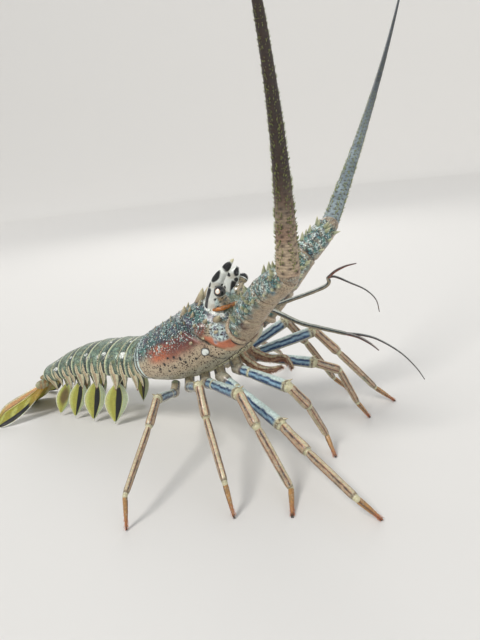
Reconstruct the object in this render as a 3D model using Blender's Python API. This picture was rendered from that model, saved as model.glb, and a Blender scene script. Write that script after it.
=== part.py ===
"""Spiny lobster as a still, life-size model that stands on its leg tips and tail fan.

Sizes are in millimetres and angles in degrees, and each part is brought to metres when
it is placed.  World frame: +X toward the head, +Y the animal's left side, +Z up, the
floor at z = 0.  Places are worked out with x = 0 under the middle of the carapace, and
the finished model is moved level so that the middle of its box is over the origin.
Body frame: x along the carapace from its rear margin, z away from the belly, tilted up
by BODY_PITCH.
"""
import math
import random

import bmesh
import bpy
from mathutils import Matrix, Vector

METRES = 0.001
GAP = 0.3
SEED = 11
SIDES = {"right": -1.0, "left": 1.0}
UP = Vector((0.0, 0.0, 1.0))

# Carapace: rear margin at x = REAR_X, pitch and height of its middle over the floor
CARAPACE_LENGTH = 100.0
BODY_PITCH = 22.7
BODY_HEIGHT = 78.8
REAR_X = -3.0
REAR_NOTCH = 5.0
SHELL_RINGS = 26
SHELL_SIDES = 26
WIDEST_LEVEL = 0.46
SIDE_BULGE = 0.92
BELLY_BULGE = 0.72
GROOVE_END = -0.35
RIM_DEPTH_SHARE = 0.5
NOTCH_FADE = 30.0
CERVICAL_TOP_X = 50.0
CERVICAL_SWEEP = 24.0
CERVICAL_DEPTH = 1.5
RIM_X = 7.0
GROOVE_WIDTH = 2.6

# Carapace stations: x, top, bottom, half width
SHELL_STATIONS = (
    (-3.0, 21.5, -15.0, 26.5),
    (6.0, 23.5, -19.0, 29.5),
    (20.0, 24.5, -24.0, 31.5),
    (42.0, 26.5, -28.0, 33.0),
    (60.0, 28.5, -28.5, 33.0),
    (76.0, 28.5, -26.5, 31.5),
    (88.0, 25.5, -23.5, 28.0),
    (95.0, 20.5, -21.0, 23.5),
    (100.0, 13.5, -18.5, 18.0),
    (104.0, 5.0, -14.5, 12.0),
)

# Great carapace spines on each side: x, angle from the top, length, radius
GREAT_SPINES = ((70.0, 9.0, 12.0, 4.2), (57.5, 27.0, 8.5, 3.0), (87.0, 64.0, 8.0, 3.0))
GREAT_SPINE_ROOM = 5.0
# Rows of carapace spines: angle from the top, first and last x, count
SPINE_ROWS = (
    (9.0, 16.0, 80.0, 7),
    (26.0, 12.0, 82.0, 8),
    (44.0, 16.0, 90.0, 8),
    (62.0, 22.0, 90.0, 7),
    (82.0, 62.0, 84.0, 3),
)
SPINE_SHORT = 2.4
SPINE_LONG = 8.0
SPINE_SLIMNESS = 0.30
SPINE_LEAN = 38.0
SPINE_JITTER = 1.6
SPINE_SWING = 3.0
SPINE_SINK = 1.4
SPINE_LEAST_RADIUS = 0.9
SIZE_SPREAD = (0.85, 1.1)
HORN_ZONE = (76.0, 14.0, 58.0)

# Horns over the eyes: root, middle and tip in the body frame for the right side
HORN_PATH = ((84.0, -15.0, 19.0), (91.5, -16.0, 29.5), (101.5, -16.2, 38.0), (118.0, -15.0, 45.5))
HORN_RADII = (5.6, 4.6, 3.6, 0.45)
HORN_POINTS = 9
WORN_HORN_SHARE = 0.74
WORN_TIP = (0.18, 0.55)

# Eyes and their stalks, body frame, right side
EYE_CENTRE = (99.5, -22.5, 28.5)
EYE_RADIUS = 4.6
EYE_SEGMENTS = (12, 8)
STALK_ROOT = (90.0, -10.0, 17.0)
STALK_RADIUS = 3.0
STALK_FLARE = 1.15

# Legs: lengths of merus with ischium, carpus, propodus, dactyl, and the merus radius
LEG_LENGTHS = {
    1: (57.0, 21.0, 32.0, 18.0, 4.3),
    2: (73.0, 27.0, 50.0, 21.0, 4.5),
    3: (68.0, 27.0, 46.0, 21.0, 4.4),
    4: (57.0, 23.0, 48.0, 22.0, 4.0),
    5: (50.0, 22.0, 51.0, 21.0, 3.6),
}
# Coxa places in the body frame: x, distance from the middle, z
COXAE = {
    1: (76.0, 13.0, -31.2),
    2: (61.6, 16.0, -31.6),
    3: (48.0, 19.0, -32.0),
    4: (33.8, 22.0, -31.0),
    5: (19.9, 24.0, -30.5),
}
# Leg pose: azimuth and elevation of merus, carpus, propodus, then the dactyl azimuth
LEG_POSES = {
    ("right", 1): ((-24, -3), (32, -53), (51, -63), -51),
    ("right", 2): ((-27, -18), (-34, -19), (-40, -8), 20),
    ("right", 3): ((-41, 11), (-43, -31), (-9, -62), -72),
    ("right", 4): ((-51, 22), (-53, -50), (-51, -34), -39),
    ("right", 5): ((-74, 19), (-81, -33), (-81, -27), -74),
    ("left", 1): ((9, -7), (28, -25), (8, -65), 27),
    ("left", 2): ((30, 13), (4, -45), (30, -50), 10),
    ("left", 3): ((42, 24), (28, -54), (27, -58), 27),
    ("left", 4): ((72, 20), (75, -48), (80, -34), 75),
    ("left", 5): ((100, 18), (105, -35), (108, -26), 100),
}
LEG_SINK = 9.0
COXA_AIM_Z = -10.0
FOOT_RADIUS = 0.75
FOOT_DEPTH = 1.5
STEEPEST_FOOT = 0.98
# Leg outlines: share of each length and radius as a share of the merus radius
MERUS_OUTLINE = ((0.0, 1.1), (0.12, 1.12), (0.17, 0.9), (0.27, 0.98), (0.32, 0.84), (0.45, 0.96),
                 (0.92, 1.08), (1.0, 1.0))
CARPUS_OUTLINE = ((0.0, 0.9), (0.25, 0.8), (0.85, 0.92), (0.96, 0.8))
PROPODUS_OUTLINE = ((0.06, 0.62), (0.2, 0.7), (0.96, 0.6))
DACTYL_OUTLINE = ((0.06, 0.45), (0.5, 0.4))
KNEE_OVERRUN = 0.8
# Knee spines: swing from the top, base back and out, tip out and ahead, radius, by the merus
KNEE_SPINE_SWINGS = (-0.8, 0.8)
KNEE_SPINE = (1.1, 0.7, 0.85, 0.95, 0.3)

# Antenna peduncles: root in the body frame, then length, azimuth, elevation of each segment
PEDUNCLE_ROOT = (97.0, 19.0, -7.0)
PEDUNCLES = {
    "right": ((34.0, -41.0, 45.0), (29.0, -39.0, 36.0), (27.0, -35.0, 29.0)),
    "left": ((35.0, 21.0, 50.0), (30.0, 26.0, 50.0), (30.0, 37.0, 42.0)),
}
PEDUNCLE_RADII = (10.0, 11.8, 11.6, 11.2, 10.6, 10.0, 8.2)
PEDUNCLE_SWELL_SHARE = 0.55
# Base spines: swing around the segment and relative size of each row, then sizes
PEDUNCLE_SPINE_ROWS = ((100.0, 1.0), (55.0, 0.9), (145.0, 0.9), (10.0, 0.8), (-160.0, 0.8))
PEDUNCLE_SPINE_START = (0.45, 0.2, 0.2)
PEDUNCLE_SPINE_END = 0.82
PEDUNCLE_SPINES_IN_ROW = 2
PEDUNCLE_SPINE_LENGTH = 5.5
PEDUNCLE_SPINE_RADIUS = 1.7
LASH_OVERRUN = 7.0

# Antenna lashes: length, azimuth, elevation, bend per square millimetre, root radius, taper
FLAGELLA = {
    "right": (345.0, -56.0, 82.0, (-0.00025, -0.00085, -0.00022), 7.7, 128.0),
    "left": (400.0, 80.0, 39.0, (-0.00012, 0.0, 0.00008), 6.9, 205.0),
}
FLAGELLUM_TIP = 0.3
FLAGELLUM_POINTS = 22
FLAGELLUM_SPLIT = 11
FLAGELLUM_SPACING = 1.15
FLAGELLUM_THINNING = 0.6
# Spinules: rows, first place, then last place, count, length, radius for each lash length
SPINULE_ROWS = ((0.0, 1.0), (120.0, 0.9), (240.0, 0.9))
SPINULE_START = 0.05
SPINULES = ((0.97, 14, 2.3, 0.7), (0.6, 7, 1.61, 0.525))
# Spines on limbs: swing either way, root depth and forward lean as shares of their size
LIMB_SPINE_SWING = 8.0
LIMB_SPINE_ROOT = 0.8
LIMB_SPINE_REACH = (0.8, 0.75)

# Antennules: stem points and lash points in the world frame, for each side
ANTENNULES = {
    "right": {
        "stem": ((48, -5, 101), (66, -7, 106), (91, -12, 98), (107, -14, 95), (125, -16, 92)),
        "short": ((125, -16, 92), (134, -17, 90), (142, -18, 86), (148, -20, 82)),
        "long": ((125, -16, 92), (136, -15, 91), (147, -15, 88), (161, -16, 80), (171, -16, 70),
                 (177, -16, 61)),
    },
    "left": {
        "stem": ((48, 5, 101), (62, 7, 104), (74, 8, 108), (105, 12, 119), (108, 12, 126)),
        "short": ((108, 12, 126), (114, 10, 131), (122, 8, 135), (130, 7, 137)),
        "long": ((108, 12, 126), (113, 14, 126), (123, 16, 121), (134, 18, 115), (141, 20, 107),
                 (143, 22, 97)),
    },
}
STEM_RADII = (2.4, 2.0, 1.7, 1.6, 1.4)
LONG_LASH_RADII = (1.1, 0.8, 0.5, 0.3)
SHORT_LASH_RADII = (1.2, 1.0, 0.4)
STEM_POINTS = 9
SHORT_LASH_POINTS = 5

# Third maxillipeds in the world frame
MAXILLIPEDS = {
    "right": ((40, -6, 72), (44, -8, 65), (54, -8, 59), (64, -8, 58), (73, -7, 61)),
    "left": ((40, 6, 72), (44, 8, 66), (58, 8, 61), (71, 8, 62), (77, 8, 53)),
}
MAXILLIPED_RADII = (3.6, 3.4, 2.9, 2.3, 0.9)
MAXILLIPED_POINTS = 11

# Tail joints: x, z and slope of the ring at the back, then half width and height of the body
TAIL_JOINTS = (
    (-57.2, 77.6, 22.7, 25.5, 35.0),
    (-62.0, 76.9, 3.0, 26.0, 32.5),
    (-80.5, 75.2, -5.0, 26.0, 30.0),
    (-102.0, 72.5, -2.0, 25.2, 28.3),
    (-123.0, 67.6, 5.0, 23.5, 26.2),
    (-143.5, 59.6, 14.0, 21.0, 23.0),
    (-170.0, 45.8, 31.0, 15.6, 16.2),
)
# Growth of a tail ring along one segment: tucked front, groove, wide rear edge
RING_GROWTH = ((0.0, 0.945), (0.14, 0.985), (0.34, 1.0), (0.44, 0.965), (0.54, 1.0), (0.86, 1.01),
               (1.0, 1.015))
TAIL_SIDES = 22
BACK_SHARE = 0.58
BACK_BULGE = 0.95
TAIL_BELLY_BULGE = 0.55
# Side plates: reach below the body and place along the segment, rear tooth then front tooth
PLEURON_TEETH = ((10.5, 0.70, 5.4), (6.5, 0.28, 3.6))
PLEURON_LEVEL = 0.66
PLEURON_INSET = 2.2
PLEURON_LEAN = (1.6, 1.0)
PLEURON_THICKNESS = 2.0
PLEURON_SHRINK = (0.75, 1.0, 1.0, 0.95, 0.85, 0.75)

# Swimmerets under segments two to five
SWIMMERET_SEGMENTS = (2, 3, 4, 5)
SWIMMERET_HALF_WIDTH = (11.0, 10.2, 8.8, 8.4)
SWIMMERET_SHARE = (0.74, 0.88, 0.98, 0.96)
SWIMMERET_INSET = (8.0, 2.0)
SWIMMERET_TURN = 20.0
SWIMMERET_SPREAD = 5.0
SWIMMERET_LEAN = (8.0, 9.0, 12.0, 15.0)
SWIMMERET_FLOOR = 2.4
SWIMMERET_THICKNESS = 1.5
SWIMMERET_EDGE = 0.5
# Leaf outline: stalk length and width, start of the blade, its least width and fullness
SWIMMERET_STALK = (0.16, 0.22)
SWIMMERET_BLADE_START = 0.12
SWIMMERET_LEAST_WIDTH = 0.12
SWIMMERET_FULLNESS = 0.85

# Tail fan: azimuth from straight back, root offset, root height, length, half width, and
# the roll that drops the outer edge of a half folded blade
TELSON = (0.0, 0.0, 37.5, 57.0, 10.5, 0.0)
UROPODS = {
    "inner": (22.0, 8.6, 36.0, 58.0, 8.0, 30.0),
    "outer": (50.0, 15.0, 31.5, 55.0, 9.8, 60.0),
}
FAN_ROOT_X = -168.0
FAN_THICKNESS = 2.0
FAN_THINNING = 0.6
FAN_GRID = (10, 4)
SWIMMERET_GRID = (9, 2)
FAN_REST = 0.5
FAN_SAG = 1.8
FAN_SLACK = 1.06
FAN_WIDEST = 0.72
FAN_ROOT_WIDTH = 0.28
FAN_EDGE = 0.55
FAN_LEAST_WIDTH = 0.16

SLIVER = 0.004
SHARP_ANGLE = 35.0
PROBE = 0.01

# Colour, roughness and metallic value of each kind of part
FINISHES = {
    "shell": ((0.42, 0.27, 0.20, 1.0), 0.45, 0.0),
    "horn": ((0.55, 0.48, 0.36, 1.0), 0.40, 0.0),
    "eye": ((0.02, 0.02, 0.025, 1.0), 0.15, 0.0),
    "antenna": ((0.40, 0.30, 0.28, 1.0), 0.50, 0.0),
    "leg": ((0.55, 0.38, 0.25, 1.0), 0.45, 0.0),
    "tail": ((0.25, 0.29, 0.24, 1.0), 0.45, 0.0),
    "fan": ((0.45, 0.40, 0.12, 1.0), 0.50, 0.0),
    "swimmeret": ((0.52, 0.50, 0.18, 1.0), 0.55, 0.0),
    "mouth": ((0.38, 0.22, 0.15, 1.0), 0.60, 0.0),
}


def clear_scene():
    """Remove every object and material that the scene already holds."""
    for obj in list(bpy.data.objects):
        bpy.data.objects.remove(obj, do_unlink=True)
    for material in list(bpy.data.materials):
        bpy.data.materials.remove(material)


def body_point(x, y, z):
    """World place of a point given in the body frame."""
    pitch = math.radians(BODY_PITCH)
    ahead = x - CARAPACE_LENGTH / 2.0
    return Vector((
        ahead * math.cos(pitch) - z * math.sin(pitch),
        y,
        ahead * math.sin(pitch) + z * math.cos(pitch) + BODY_HEIGHT,
    ))


def heading(azimuth, elevation):
    """Unit direction from an azimuth about +Z, from +X, and an elevation, in degrees."""
    turn = math.radians(azimuth)
    rise = math.radians(elevation)
    return Vector((
        math.cos(rise) * math.cos(turn),
        math.cos(rise) * math.sin(turn),
        math.sin(rise),
    ))


def hermite(before, start, end, after, share):
    """Cubic value at share between start and end, with slopes from the values around."""
    slope_start = (end - before) / 2.0
    slope_end = (after - start) / 2.0
    square = share * share
    cube = square * share
    return (
        (2.0 * cube - 3.0 * square + 1.0) * start
        + (cube - 2.0 * square + share) * slope_start
        + (3.0 * square - 2.0 * cube) * end
        + (cube - square) * slope_end
    )


def read_table(table, place):
    """Columns of a table at a place in its first column, with a cubic between the rows."""
    last = len(table) - 1
    index = max(0, min(last - 1, sum(1 for row in table if row[0] <= place) - 1))
    start = table[index]
    end = table[index + 1]
    before = table[max(0, index - 1)]
    after = table[min(last, index + 2)]
    share = min(1.0, max(0.0, (place - start[0]) / (end[0] - start[0])))
    columns = range(1, len(start))
    return [hermite(before[c], start[c], end[c], after[c], share) for c in columns]


def smooth_path(knots, count):
    """Evenly shared points of a smooth curve through knots, ends included."""
    vectors = [Vector(knot) for knot in knots]
    points = []
    for step in range(count):
        place = step * (len(vectors) - 1) / (count - 1)
        index = min(int(place), len(vectors) - 2)
        before = vectors[max(0, index - 1)]
        after = vectors[min(len(vectors) - 1, index + 2)]
        points.append(hermite(before, vectors[index], vectors[index + 1], after, place - index))
    return points


def smooth_values(values, count):
    """Values read at even shares of a list, with straight runs between them."""
    result = []
    for step in range(count):
        place = step * (len(values) - 1) / (count - 1)
        index = min(int(place), len(values) - 2)
        share = place - index
        result.append(values[index] * (1.0 - share) + values[index + 1] * share)
    return result


def mesh_object(name, work):
    """Turn a bmesh into an object of the scene's own collection."""
    bmesh.ops.recalc_face_normals(work, faces=work.faces)
    mesh = bpy.data.meshes.new(name)
    work.to_mesh(mesh)
    work.free()
    obj = bpy.data.objects.new(name, mesh)
    bpy.context.scene.collection.objects.link(obj)
    return obj


def loft(name, rings):
    """Skin closed rings of equal count into one solid with flat ends."""
    work = bmesh.new()
    rows = [[work.verts.new(point) for point in ring] for ring in rings]
    count = len(rows[0])
    for row, following in zip(rows, rows[1:]):
        for index in range(count):
            after = (index + 1) % count
            work.faces.new((row[index], row[after], following[after], following[index]))
    work.faces.new(rows[0][::-1])
    work.faces.new(rows[-1])
    return mesh_object(name, work)


def tube(name, points, radii, resolution=2):
    """A round limb along points with its own radius at each, as a closed mesh."""
    curve = bpy.data.curves.new(name, "CURVE")
    curve.dimensions = "3D"
    curve.bevel_depth = 1.0
    curve.bevel_resolution = resolution
    curve.use_fill_caps = True
    spline = curve.splines.new("POLY")
    spline.points.add(len(points) - 1)
    for knot, point, radius in zip(spline.points, points, radii):
        knot.co = (point[0], point[1], point[2], 1.0)
        knot.radius = radius
    guide = bpy.data.objects.new(name, curve)
    bpy.context.scene.collection.objects.link(guide)
    view = bpy.context.evaluated_depsgraph_get()
    mesh = bpy.data.meshes.new_from_object(guide.evaluated_get(view))
    bpy.data.objects.remove(guide, do_unlink=True)
    work = bmesh.new()
    work.from_mesh(mesh)
    bmesh.ops.remove_doubles(work, verts=work.verts, dist=0.001)
    return mesh_object(name, work)


def thorn(base, tip, radius, sides=5, flat_axis=None, flatness=1.0):
    """A spine as a cone from base to tip; flatness stretches its root along flat_axis."""
    base = Vector(base)
    run = Vector(tip) - base
    work = bmesh.new()
    bmesh.ops.create_cone(
        work, cap_ends=True, segments=sides, radius1=radius, radius2=0.0, depth=run.length)
    turn = run.to_track_quat("Z", "X")
    if flat_axis is not None:
        away = run.normalized()
        along = (flat_axis - away * flat_axis.dot(away)).normalized()
        turn = Matrix((along, away.cross(along), away)).transposed().to_quaternion()
    stretch = Matrix.Diagonal((flatness, 1.0, 1.0, 1.0))
    move = Matrix.Translation(base + run / 2.0) @ turn.to_matrix().to_4x4() @ stretch
    bmesh.ops.transform(work, matrix=move, verts=work.verts)
    return mesh_object("thorn", work)


def keep_largest(obj):
    """Clean slivers and keep only the largest closed surface of an object."""
    work = bmesh.new()
    work.from_mesh(obj.data)
    bmesh.ops.dissolve_degenerate(work, dist=SLIVER, edges=work.edges)
    bmesh.ops.remove_doubles(work, verts=work.verts, dist=SLIVER)
    bmesh.ops.triangulate(work, faces=work.faces)
    unseen = set(work.faces)
    shells = []
    while unseen:
        front = [unseen.pop()]
        shell = list(front)
        while front:
            face = front.pop()
            for edge in face.edges:
                for other in edge.link_faces:
                    if other in unseen:
                        unseen.remove(other)
                        front.append(other)
                        shell.append(other)
        shells.append(shell)
    shells.sort(key=lambda faces: sum(face.calc_area() for face in faces))
    scraps = [face for shell in shells[:-1] for face in shell]
    bmesh.ops.delete(work, geom=scraps, context="FACES")
    work.to_mesh(obj.data)
    work.free()


def combine(target, operation, others, solver="MANIFOLD"):
    """Apply one Boolean of a target with all the other objects, and remove those."""
    if not others:
        return
    group = bpy.data.collections.new("pieces")
    bpy.context.scene.collection.children.link(group)
    for other in others:
        group.objects.link(other)
    modifier = target.modifiers.new("combine", "BOOLEAN")
    modifier.operation = operation
    modifier.operand_type = "COLLECTION"
    modifier.collection = group
    modifier.solver = solver
    view = bpy.context.evaluated_depsgraph_get()
    mesh = bpy.data.meshes.new_from_object(target.evaluated_get(view))
    target.modifiers.clear()
    target.data = mesh
    for other in others:
        bpy.data.objects.remove(other, do_unlink=True)
    bpy.data.collections.remove(group)
    keep_largest(target)


def grown_copy(obj, margin=GAP):
    """A copy of a solid with its surface moved out by a margin."""
    work = bmesh.new()
    work.from_mesh(obj.data)
    bmesh.ops.recalc_face_normals(work, faces=work.faces)
    work.normal_update()
    shifts = [(vert, vert.normal.copy()) for vert in work.verts]
    for vert, normal in shifts:
        vert.co += normal * margin
    return mesh_object("grown", work)


def cut_plane(obj, point, normal):
    """Remove what lies on the normal's side of a plane and cap the cut."""
    work = bmesh.new()
    work.from_mesh(obj.data)
    everything = list(work.verts) + list(work.edges) + list(work.faces)
    made = bmesh.ops.bisect_plane(
        work, geom=everything, plane_co=point, plane_no=normal, clear_outer=True)
    rim = [part for part in made["geom_cut"] if isinstance(part, bmesh.types.BMEdge)]
    bmesh.ops.edgeloop_fill(work, edges=rim)
    bmesh.ops.recalc_face_normals(work, faces=work.faces)
    work.to_mesh(obj.data)
    work.free()


def place(obj, name, kind, root):
    """Name a finished part, bring it to metres, set its origin at root and its material."""
    root = Vector(root)
    obj.name = name
    obj.data.name = name
    obj.data.transform(Matrix.Scale(METRES, 4) @ Matrix.Translation(-root))
    obj.location = root * METRES
    colour, roughness, metallic = FINISHES[kind]
    material = bpy.data.materials.new(name)
    material.use_nodes = True
    surface = material.node_tree.nodes["Principled BSDF"]
    surface.inputs["Base Color"].default_value = colour
    surface.inputs["Roughness"].default_value = roughness
    surface.inputs["Metallic"].default_value = metallic
    obj.data.materials.clear()
    obj.data.materials.append(material)
    obj.data.shade_smooth()
    obj.data.set_sharp_from_angle(angle=math.radians(SHARP_ANGLE))
    return obj


def shell_point(x, angle, out=0.0):
    """Body-frame point of the carapace at x and an angle in degrees from its top."""
    top, bottom, width = read_table(SHELL_STATIONS, x)
    turn = math.radians(angle)
    level = bottom + WIDEST_LEVEL * (top - bottom)
    side = math.sin(turn)
    rise = math.cos(turn)
    y = width * math.copysign(abs(side) ** SIDE_BULGE, side)
    height = top - level if rise >= 0.0 else level - bottom
    bulge = 1.0 if rise >= 0.0 else BELLY_BULGE
    z = level + height * math.copysign(abs(rise) ** bulge, rise)
    hollow = CERVICAL_TOP_X + CERVICAL_SWEEP * (1.0 - rise) - x
    depth = CERVICAL_DEPTH * math.exp(-(hollow / GROOVE_WIDTH) ** 2)
    depth += RIM_DEPTH_SHARE * CERVICAL_DEPTH * math.exp(-((x - RIM_X) / GROOVE_WIDTH) ** 2)
    if rise < GROOVE_END:
        depth = 0.0
    inward = Vector((0.0, y, z - level)).normalized() * (out - depth)
    fade = max(0.0, 1.0 - (x - REAR_X) / NOTCH_FADE)
    shift = REAR_NOTCH * max(0.0, rise) * fade
    return Vector((x + shift, y, z)) + inward


def shell_normal(x, angle):
    """World direction away from the carapace at x and an angle from its top."""
    here = body_point(*shell_point(x, angle))
    ahead = body_point(*shell_point(x + 0.5, angle)) - here
    around = body_point(*shell_point(x, angle + 1.0)) - here
    return ahead.cross(around).normalized()


def build_carapace():
    """The plain carapace with the floor of the thorax, as a loft of egg-shaped rings."""
    front = SHELL_STATIONS[-1][0]
    rings = []
    for ring in range(SHELL_RINGS):
        share = ring / (SHELL_RINGS - 1)
        x = REAR_X + (front - REAR_X) * share
        turns = [360.0 * side / SHELL_SIDES for side in range(SHELL_SIDES)]
        rings.append([body_point(*shell_point(x, turn)) for turn in turns])
    return loft("cephalothorax", rings)


def shell_spine(x, angle, length, radius):
    """One carapace spine that leans forward from the surface."""
    base = body_point(*shell_point(x, angle, -SPINE_SINK))
    normal = shell_normal(x, angle)
    pitch = math.radians(BODY_PITCH)
    forward = Vector((math.cos(pitch), 0.0, math.sin(pitch)))
    lean = math.radians(SPINE_LEAN)
    direction = (normal * math.cos(lean) + forward * math.sin(lean)).normalized()
    return thorn(base, base + direction * (length + SPINE_SINK), radius)


def spine_is_free(x, angle):
    """Whether a row spine stands clear of the horn, the eye stalk and the great spines."""
    first, low, high = HORN_ZONE
    if x > first and low < angle < high:
        return False
    for great_x, great_angle in (spine[:2] for spine in GREAT_SPINES):
        around = math.radians(angle - great_angle) * SHELL_STATIONS[4][3]
        if math.hypot(x - great_x, around) < GREAT_SPINE_ROOM:
            return False
    return True


def carapace_spines(draw):
    """Great spines and rows of forward spines on both sides, growing toward the head."""
    spines = []
    for side in SIDES.values():
        for x, angle, length, radius in GREAT_SPINES:
            spines.append(shell_spine(x, side * angle, length, radius))
        for angle, first, last, count in SPINE_ROWS:
            for step in range(count):
                share = step / (count - 1)
                x = first + (last - first) * share + draw.uniform(-SPINE_JITTER, SPINE_JITTER)
                turn = angle + draw.uniform(-SPINE_SWING, SPINE_SWING)
                length = SPINE_SHORT + (SPINE_LONG - SPINE_SHORT) * (x / last) ** 2
                length *= draw.uniform(*SIZE_SPREAD)
                radius = max(SPINE_LEAST_RADIUS, length * SPINE_SLIMNESS)
                if spine_is_free(x, turn):
                    spines.append(shell_spine(x, side * turn, length, radius))
    return spines


def build_horn(side):
    """The supraorbital horn; the left one ends in a worn, blunt tip."""
    sign = SIDES[side]
    knots = [body_point(x, -sign * y, z) for x, y, z in HORN_PATH]
    points = smooth_path(knots, HORN_POINTS)
    radii = smooth_values(HORN_RADII, HORN_POINTS)
    if side == "left":
        kept = int(HORN_POINTS * WORN_HORN_SHARE)
        points = points[:kept]
        radii = radii[:kept]
        reach, blunt = WORN_TIP
        points.append(points[-1] + (points[-1] - points[-2]) * reach)
        radii.append(radii[-1] * blunt)
    return tube("horn", points, radii, 3)


def build_eye(side):
    """The round eye on its short stalk."""
    sign = SIDES[side]
    centre = body_point(EYE_CENTRE[0], -sign * EYE_CENTRE[1], EYE_CENTRE[2])
    root = body_point(STALK_ROOT[0], -sign * STALK_ROOT[1], STALK_ROOT[2])
    stalk = tube("stalk", (root, centre), (STALK_RADIUS * STALK_FLARE, STALK_RADIUS), 2)
    work = bmesh.new()
    bmesh.ops.create_uvsphere(
        work, u_segments=EYE_SEGMENTS[0], v_segments=EYE_SEGMENTS[1], radius=EYE_RADIUS,
        matrix=Matrix.Translation(centre))
    ball = mesh_object("eye", work)
    combine(ball, "UNION", [stalk])
    return ball


def leg_joints(side, number):
    """World joints of a leg, from inside the thorax to the tip on the floor."""
    sign = SIDES[side]
    lengths = LEG_LENGTHS[number]
    pose = LEG_POSES[(side, number)]
    x, off, z = COXAE[number]
    joints = [body_point(x, sign * off, z)]
    for length, (azimuth, elevation) in zip(lengths, pose[:3]):
        joints.append(joints[-1] + heading(azimuth, elevation) * length)
    height = joints[-1].z - FOOT_RADIUS / 2.0
    drop = -math.degrees(math.asin(min(STEEPEST_FOOT, height / lengths[3])))
    joints.append(joints[-1] + heading(pose[3], drop) * lengths[3])
    return joints


def limb_profile(start, end, outline, size):
    """Points and radii of one limb length from shares and relative radii along it."""
    points = [start.lerp(end, share) for share, radius in outline]
    return points, [radius * size for share, radius in outline]


def knee_spines(knee, direction, merus):
    """The pair of short spines that point past the knee."""
    back, low, out, ahead, radius = [share * merus for share in KNEE_SPINE]
    across = direction.cross(UP).normalized()
    above = across.cross(direction)
    spines = []
    for swing in KNEE_SPINE_SWINGS:
        away = (above + across * swing).normalized()
        base = knee - direction * back + away * low
        spines.append(thorn(base, base + away * out + direction * ahead, radius))
    return spines


def upper_leg(side, number):
    """Coxa, ischium and merus, with the grooves of their joints and spines at the knee."""
    joints = leg_joints(side, number)
    merus = LEG_LENGTHS[number][4]
    knee = joints[1]
    direction = (knee - joints[0]).normalized()
    inward = body_point(COXAE[number][0], 0.0, COXA_AIM_Z) - joints[0]
    root = joints[0] + inward.normalized() * LEG_SINK
    points, radii = limb_profile(joints[0], knee, MERUS_OUTLINE, merus)
    points.append(knee + direction * merus)
    radii.append(merus * KNEE_OVERRUN)
    leg = tube("leg", [root] + points, [radii[0]] + radii, 2)
    bend = (direction + (joints[2] - knee).normalized()).normalized()
    cut_plane(leg, knee - bend * GAP / 2.0, bend)
    combine(leg, "UNION", knee_spines(knee, direction, merus))
    cut_plane(leg, knee - bend * GAP / 2.0, bend)
    return leg, joints[0]


def lower_leg(side, number):
    """Carpus, propodus and the pointed dactyl that stands on a small flat."""
    joints = leg_joints(side, number)
    merus = LEG_LENGTHS[number][4]
    knee = joints[1]
    direction = (knee - joints[0]).normalized()
    onward = (joints[2] - knee).normalized()
    points = [knee - onward * merus]
    radii = [merus * KNEE_OVERRUN]
    outlines = (CARPUS_OUTLINE, PROPODUS_OUTLINE, DACTYL_OUTLINE)
    for start, end, outline in zip(joints[1:], joints[2:], outlines):
        run, sizes = limb_profile(start, end, outline, merus)
        points.extend(run)
        radii.extend(sizes)
    points.append(joints[-1])
    points.append(joints[-1] + (points[-1] - points[-2]).normalized() * FOOT_DEPTH)
    radii.extend((FOOT_RADIUS, FOOT_RADIUS))
    leg = tube("leg", points, radii, 2)
    bend = (direction + onward).normalized()
    cut_plane(leg, knee + bend * GAP / 2.0, -bend)
    cut_plane(leg, Vector((0.0, 0.0, 0.0)), -UP)
    return leg, knee


def peduncle_joints(side):
    """World joints of an antenna's thick base, from its root in the head."""
    x, off, z = PEDUNCLE_ROOT
    joints = [body_point(x, SIDES[side] * off, z)]
    for length, azimuth, elevation in PEDUNCLES[side]:
        joints.append(joints[-1] + heading(azimuth, elevation) * length)
    return joints


def flagellum_point(side, distance):
    """World point of an antenna lash at a distance from its root."""
    azimuth, elevation, bend = FLAGELLA[side][1:4]
    root = peduncle_joints(side)[-1]
    return root + heading(azimuth, elevation) * distance + Vector(bend) * distance ** 2


def flagellum_radius(side, distance):
    """Radius of an antenna lash, thinning fast at first and slowly later."""
    length = FLAGELLA[side][0]
    radius, taper = FLAGELLA[side][4:]
    return FLAGELLUM_TIP + (radius - FLAGELLUM_TIP) * math.exp(-distance / taper) * (
        1.0 - FLAGELLUM_THINNING * (distance / length) ** 3)


def ring_spines(points, radii, draw, rows, first, last, count, length, thickness, sides=5):
    """Spines in rows along a round limb, pointing outward and toward its tip."""
    spines = []
    for row, (swing, weight) in enumerate(rows):
        for step in range(count):
            share = first + (last - first) * (step + 0.5 * (row % 2)) / count
            place = share * (len(points) - 1)
            index = min(int(place), len(points) - 2)
            here = points[index].lerp(points[index + 1], place - index)
            radius = radii[index] + (radii[index + 1] - radii[index]) * (place - index)
            along = (points[index + 1] - points[index]).normalized()
            across = along.cross(Vector((1.0, 0.2, 0.1))).normalized()
            third = along.cross(across)
            turn = math.radians(swing + draw.uniform(-LIMB_SPINE_SWING, LIMB_SPINE_SWING))
            out = across * math.cos(turn) + third * math.sin(turn)
            size = length * weight * draw.uniform(*SIZE_SPREAD)
            rise, lean = [share * size for share in LIMB_SPINE_REACH]
            base = here + out * (radius * LIMB_SPINE_ROOT)
            tip = here + out * (radius + rise) + along * lean
            spines.append(thorn(base, tip, thickness * weight, sides))
    return spines


def lash_joint(side):
    """Place and direction of the plane where an antenna lash meets its base."""
    joints = peduncle_joints(side)
    behind = (joints[-1] - joints[-2]).normalized()
    ahead = heading(*FLAGELLA[side][1:3])
    return joints[-1], (behind + ahead).normalized()


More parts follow.
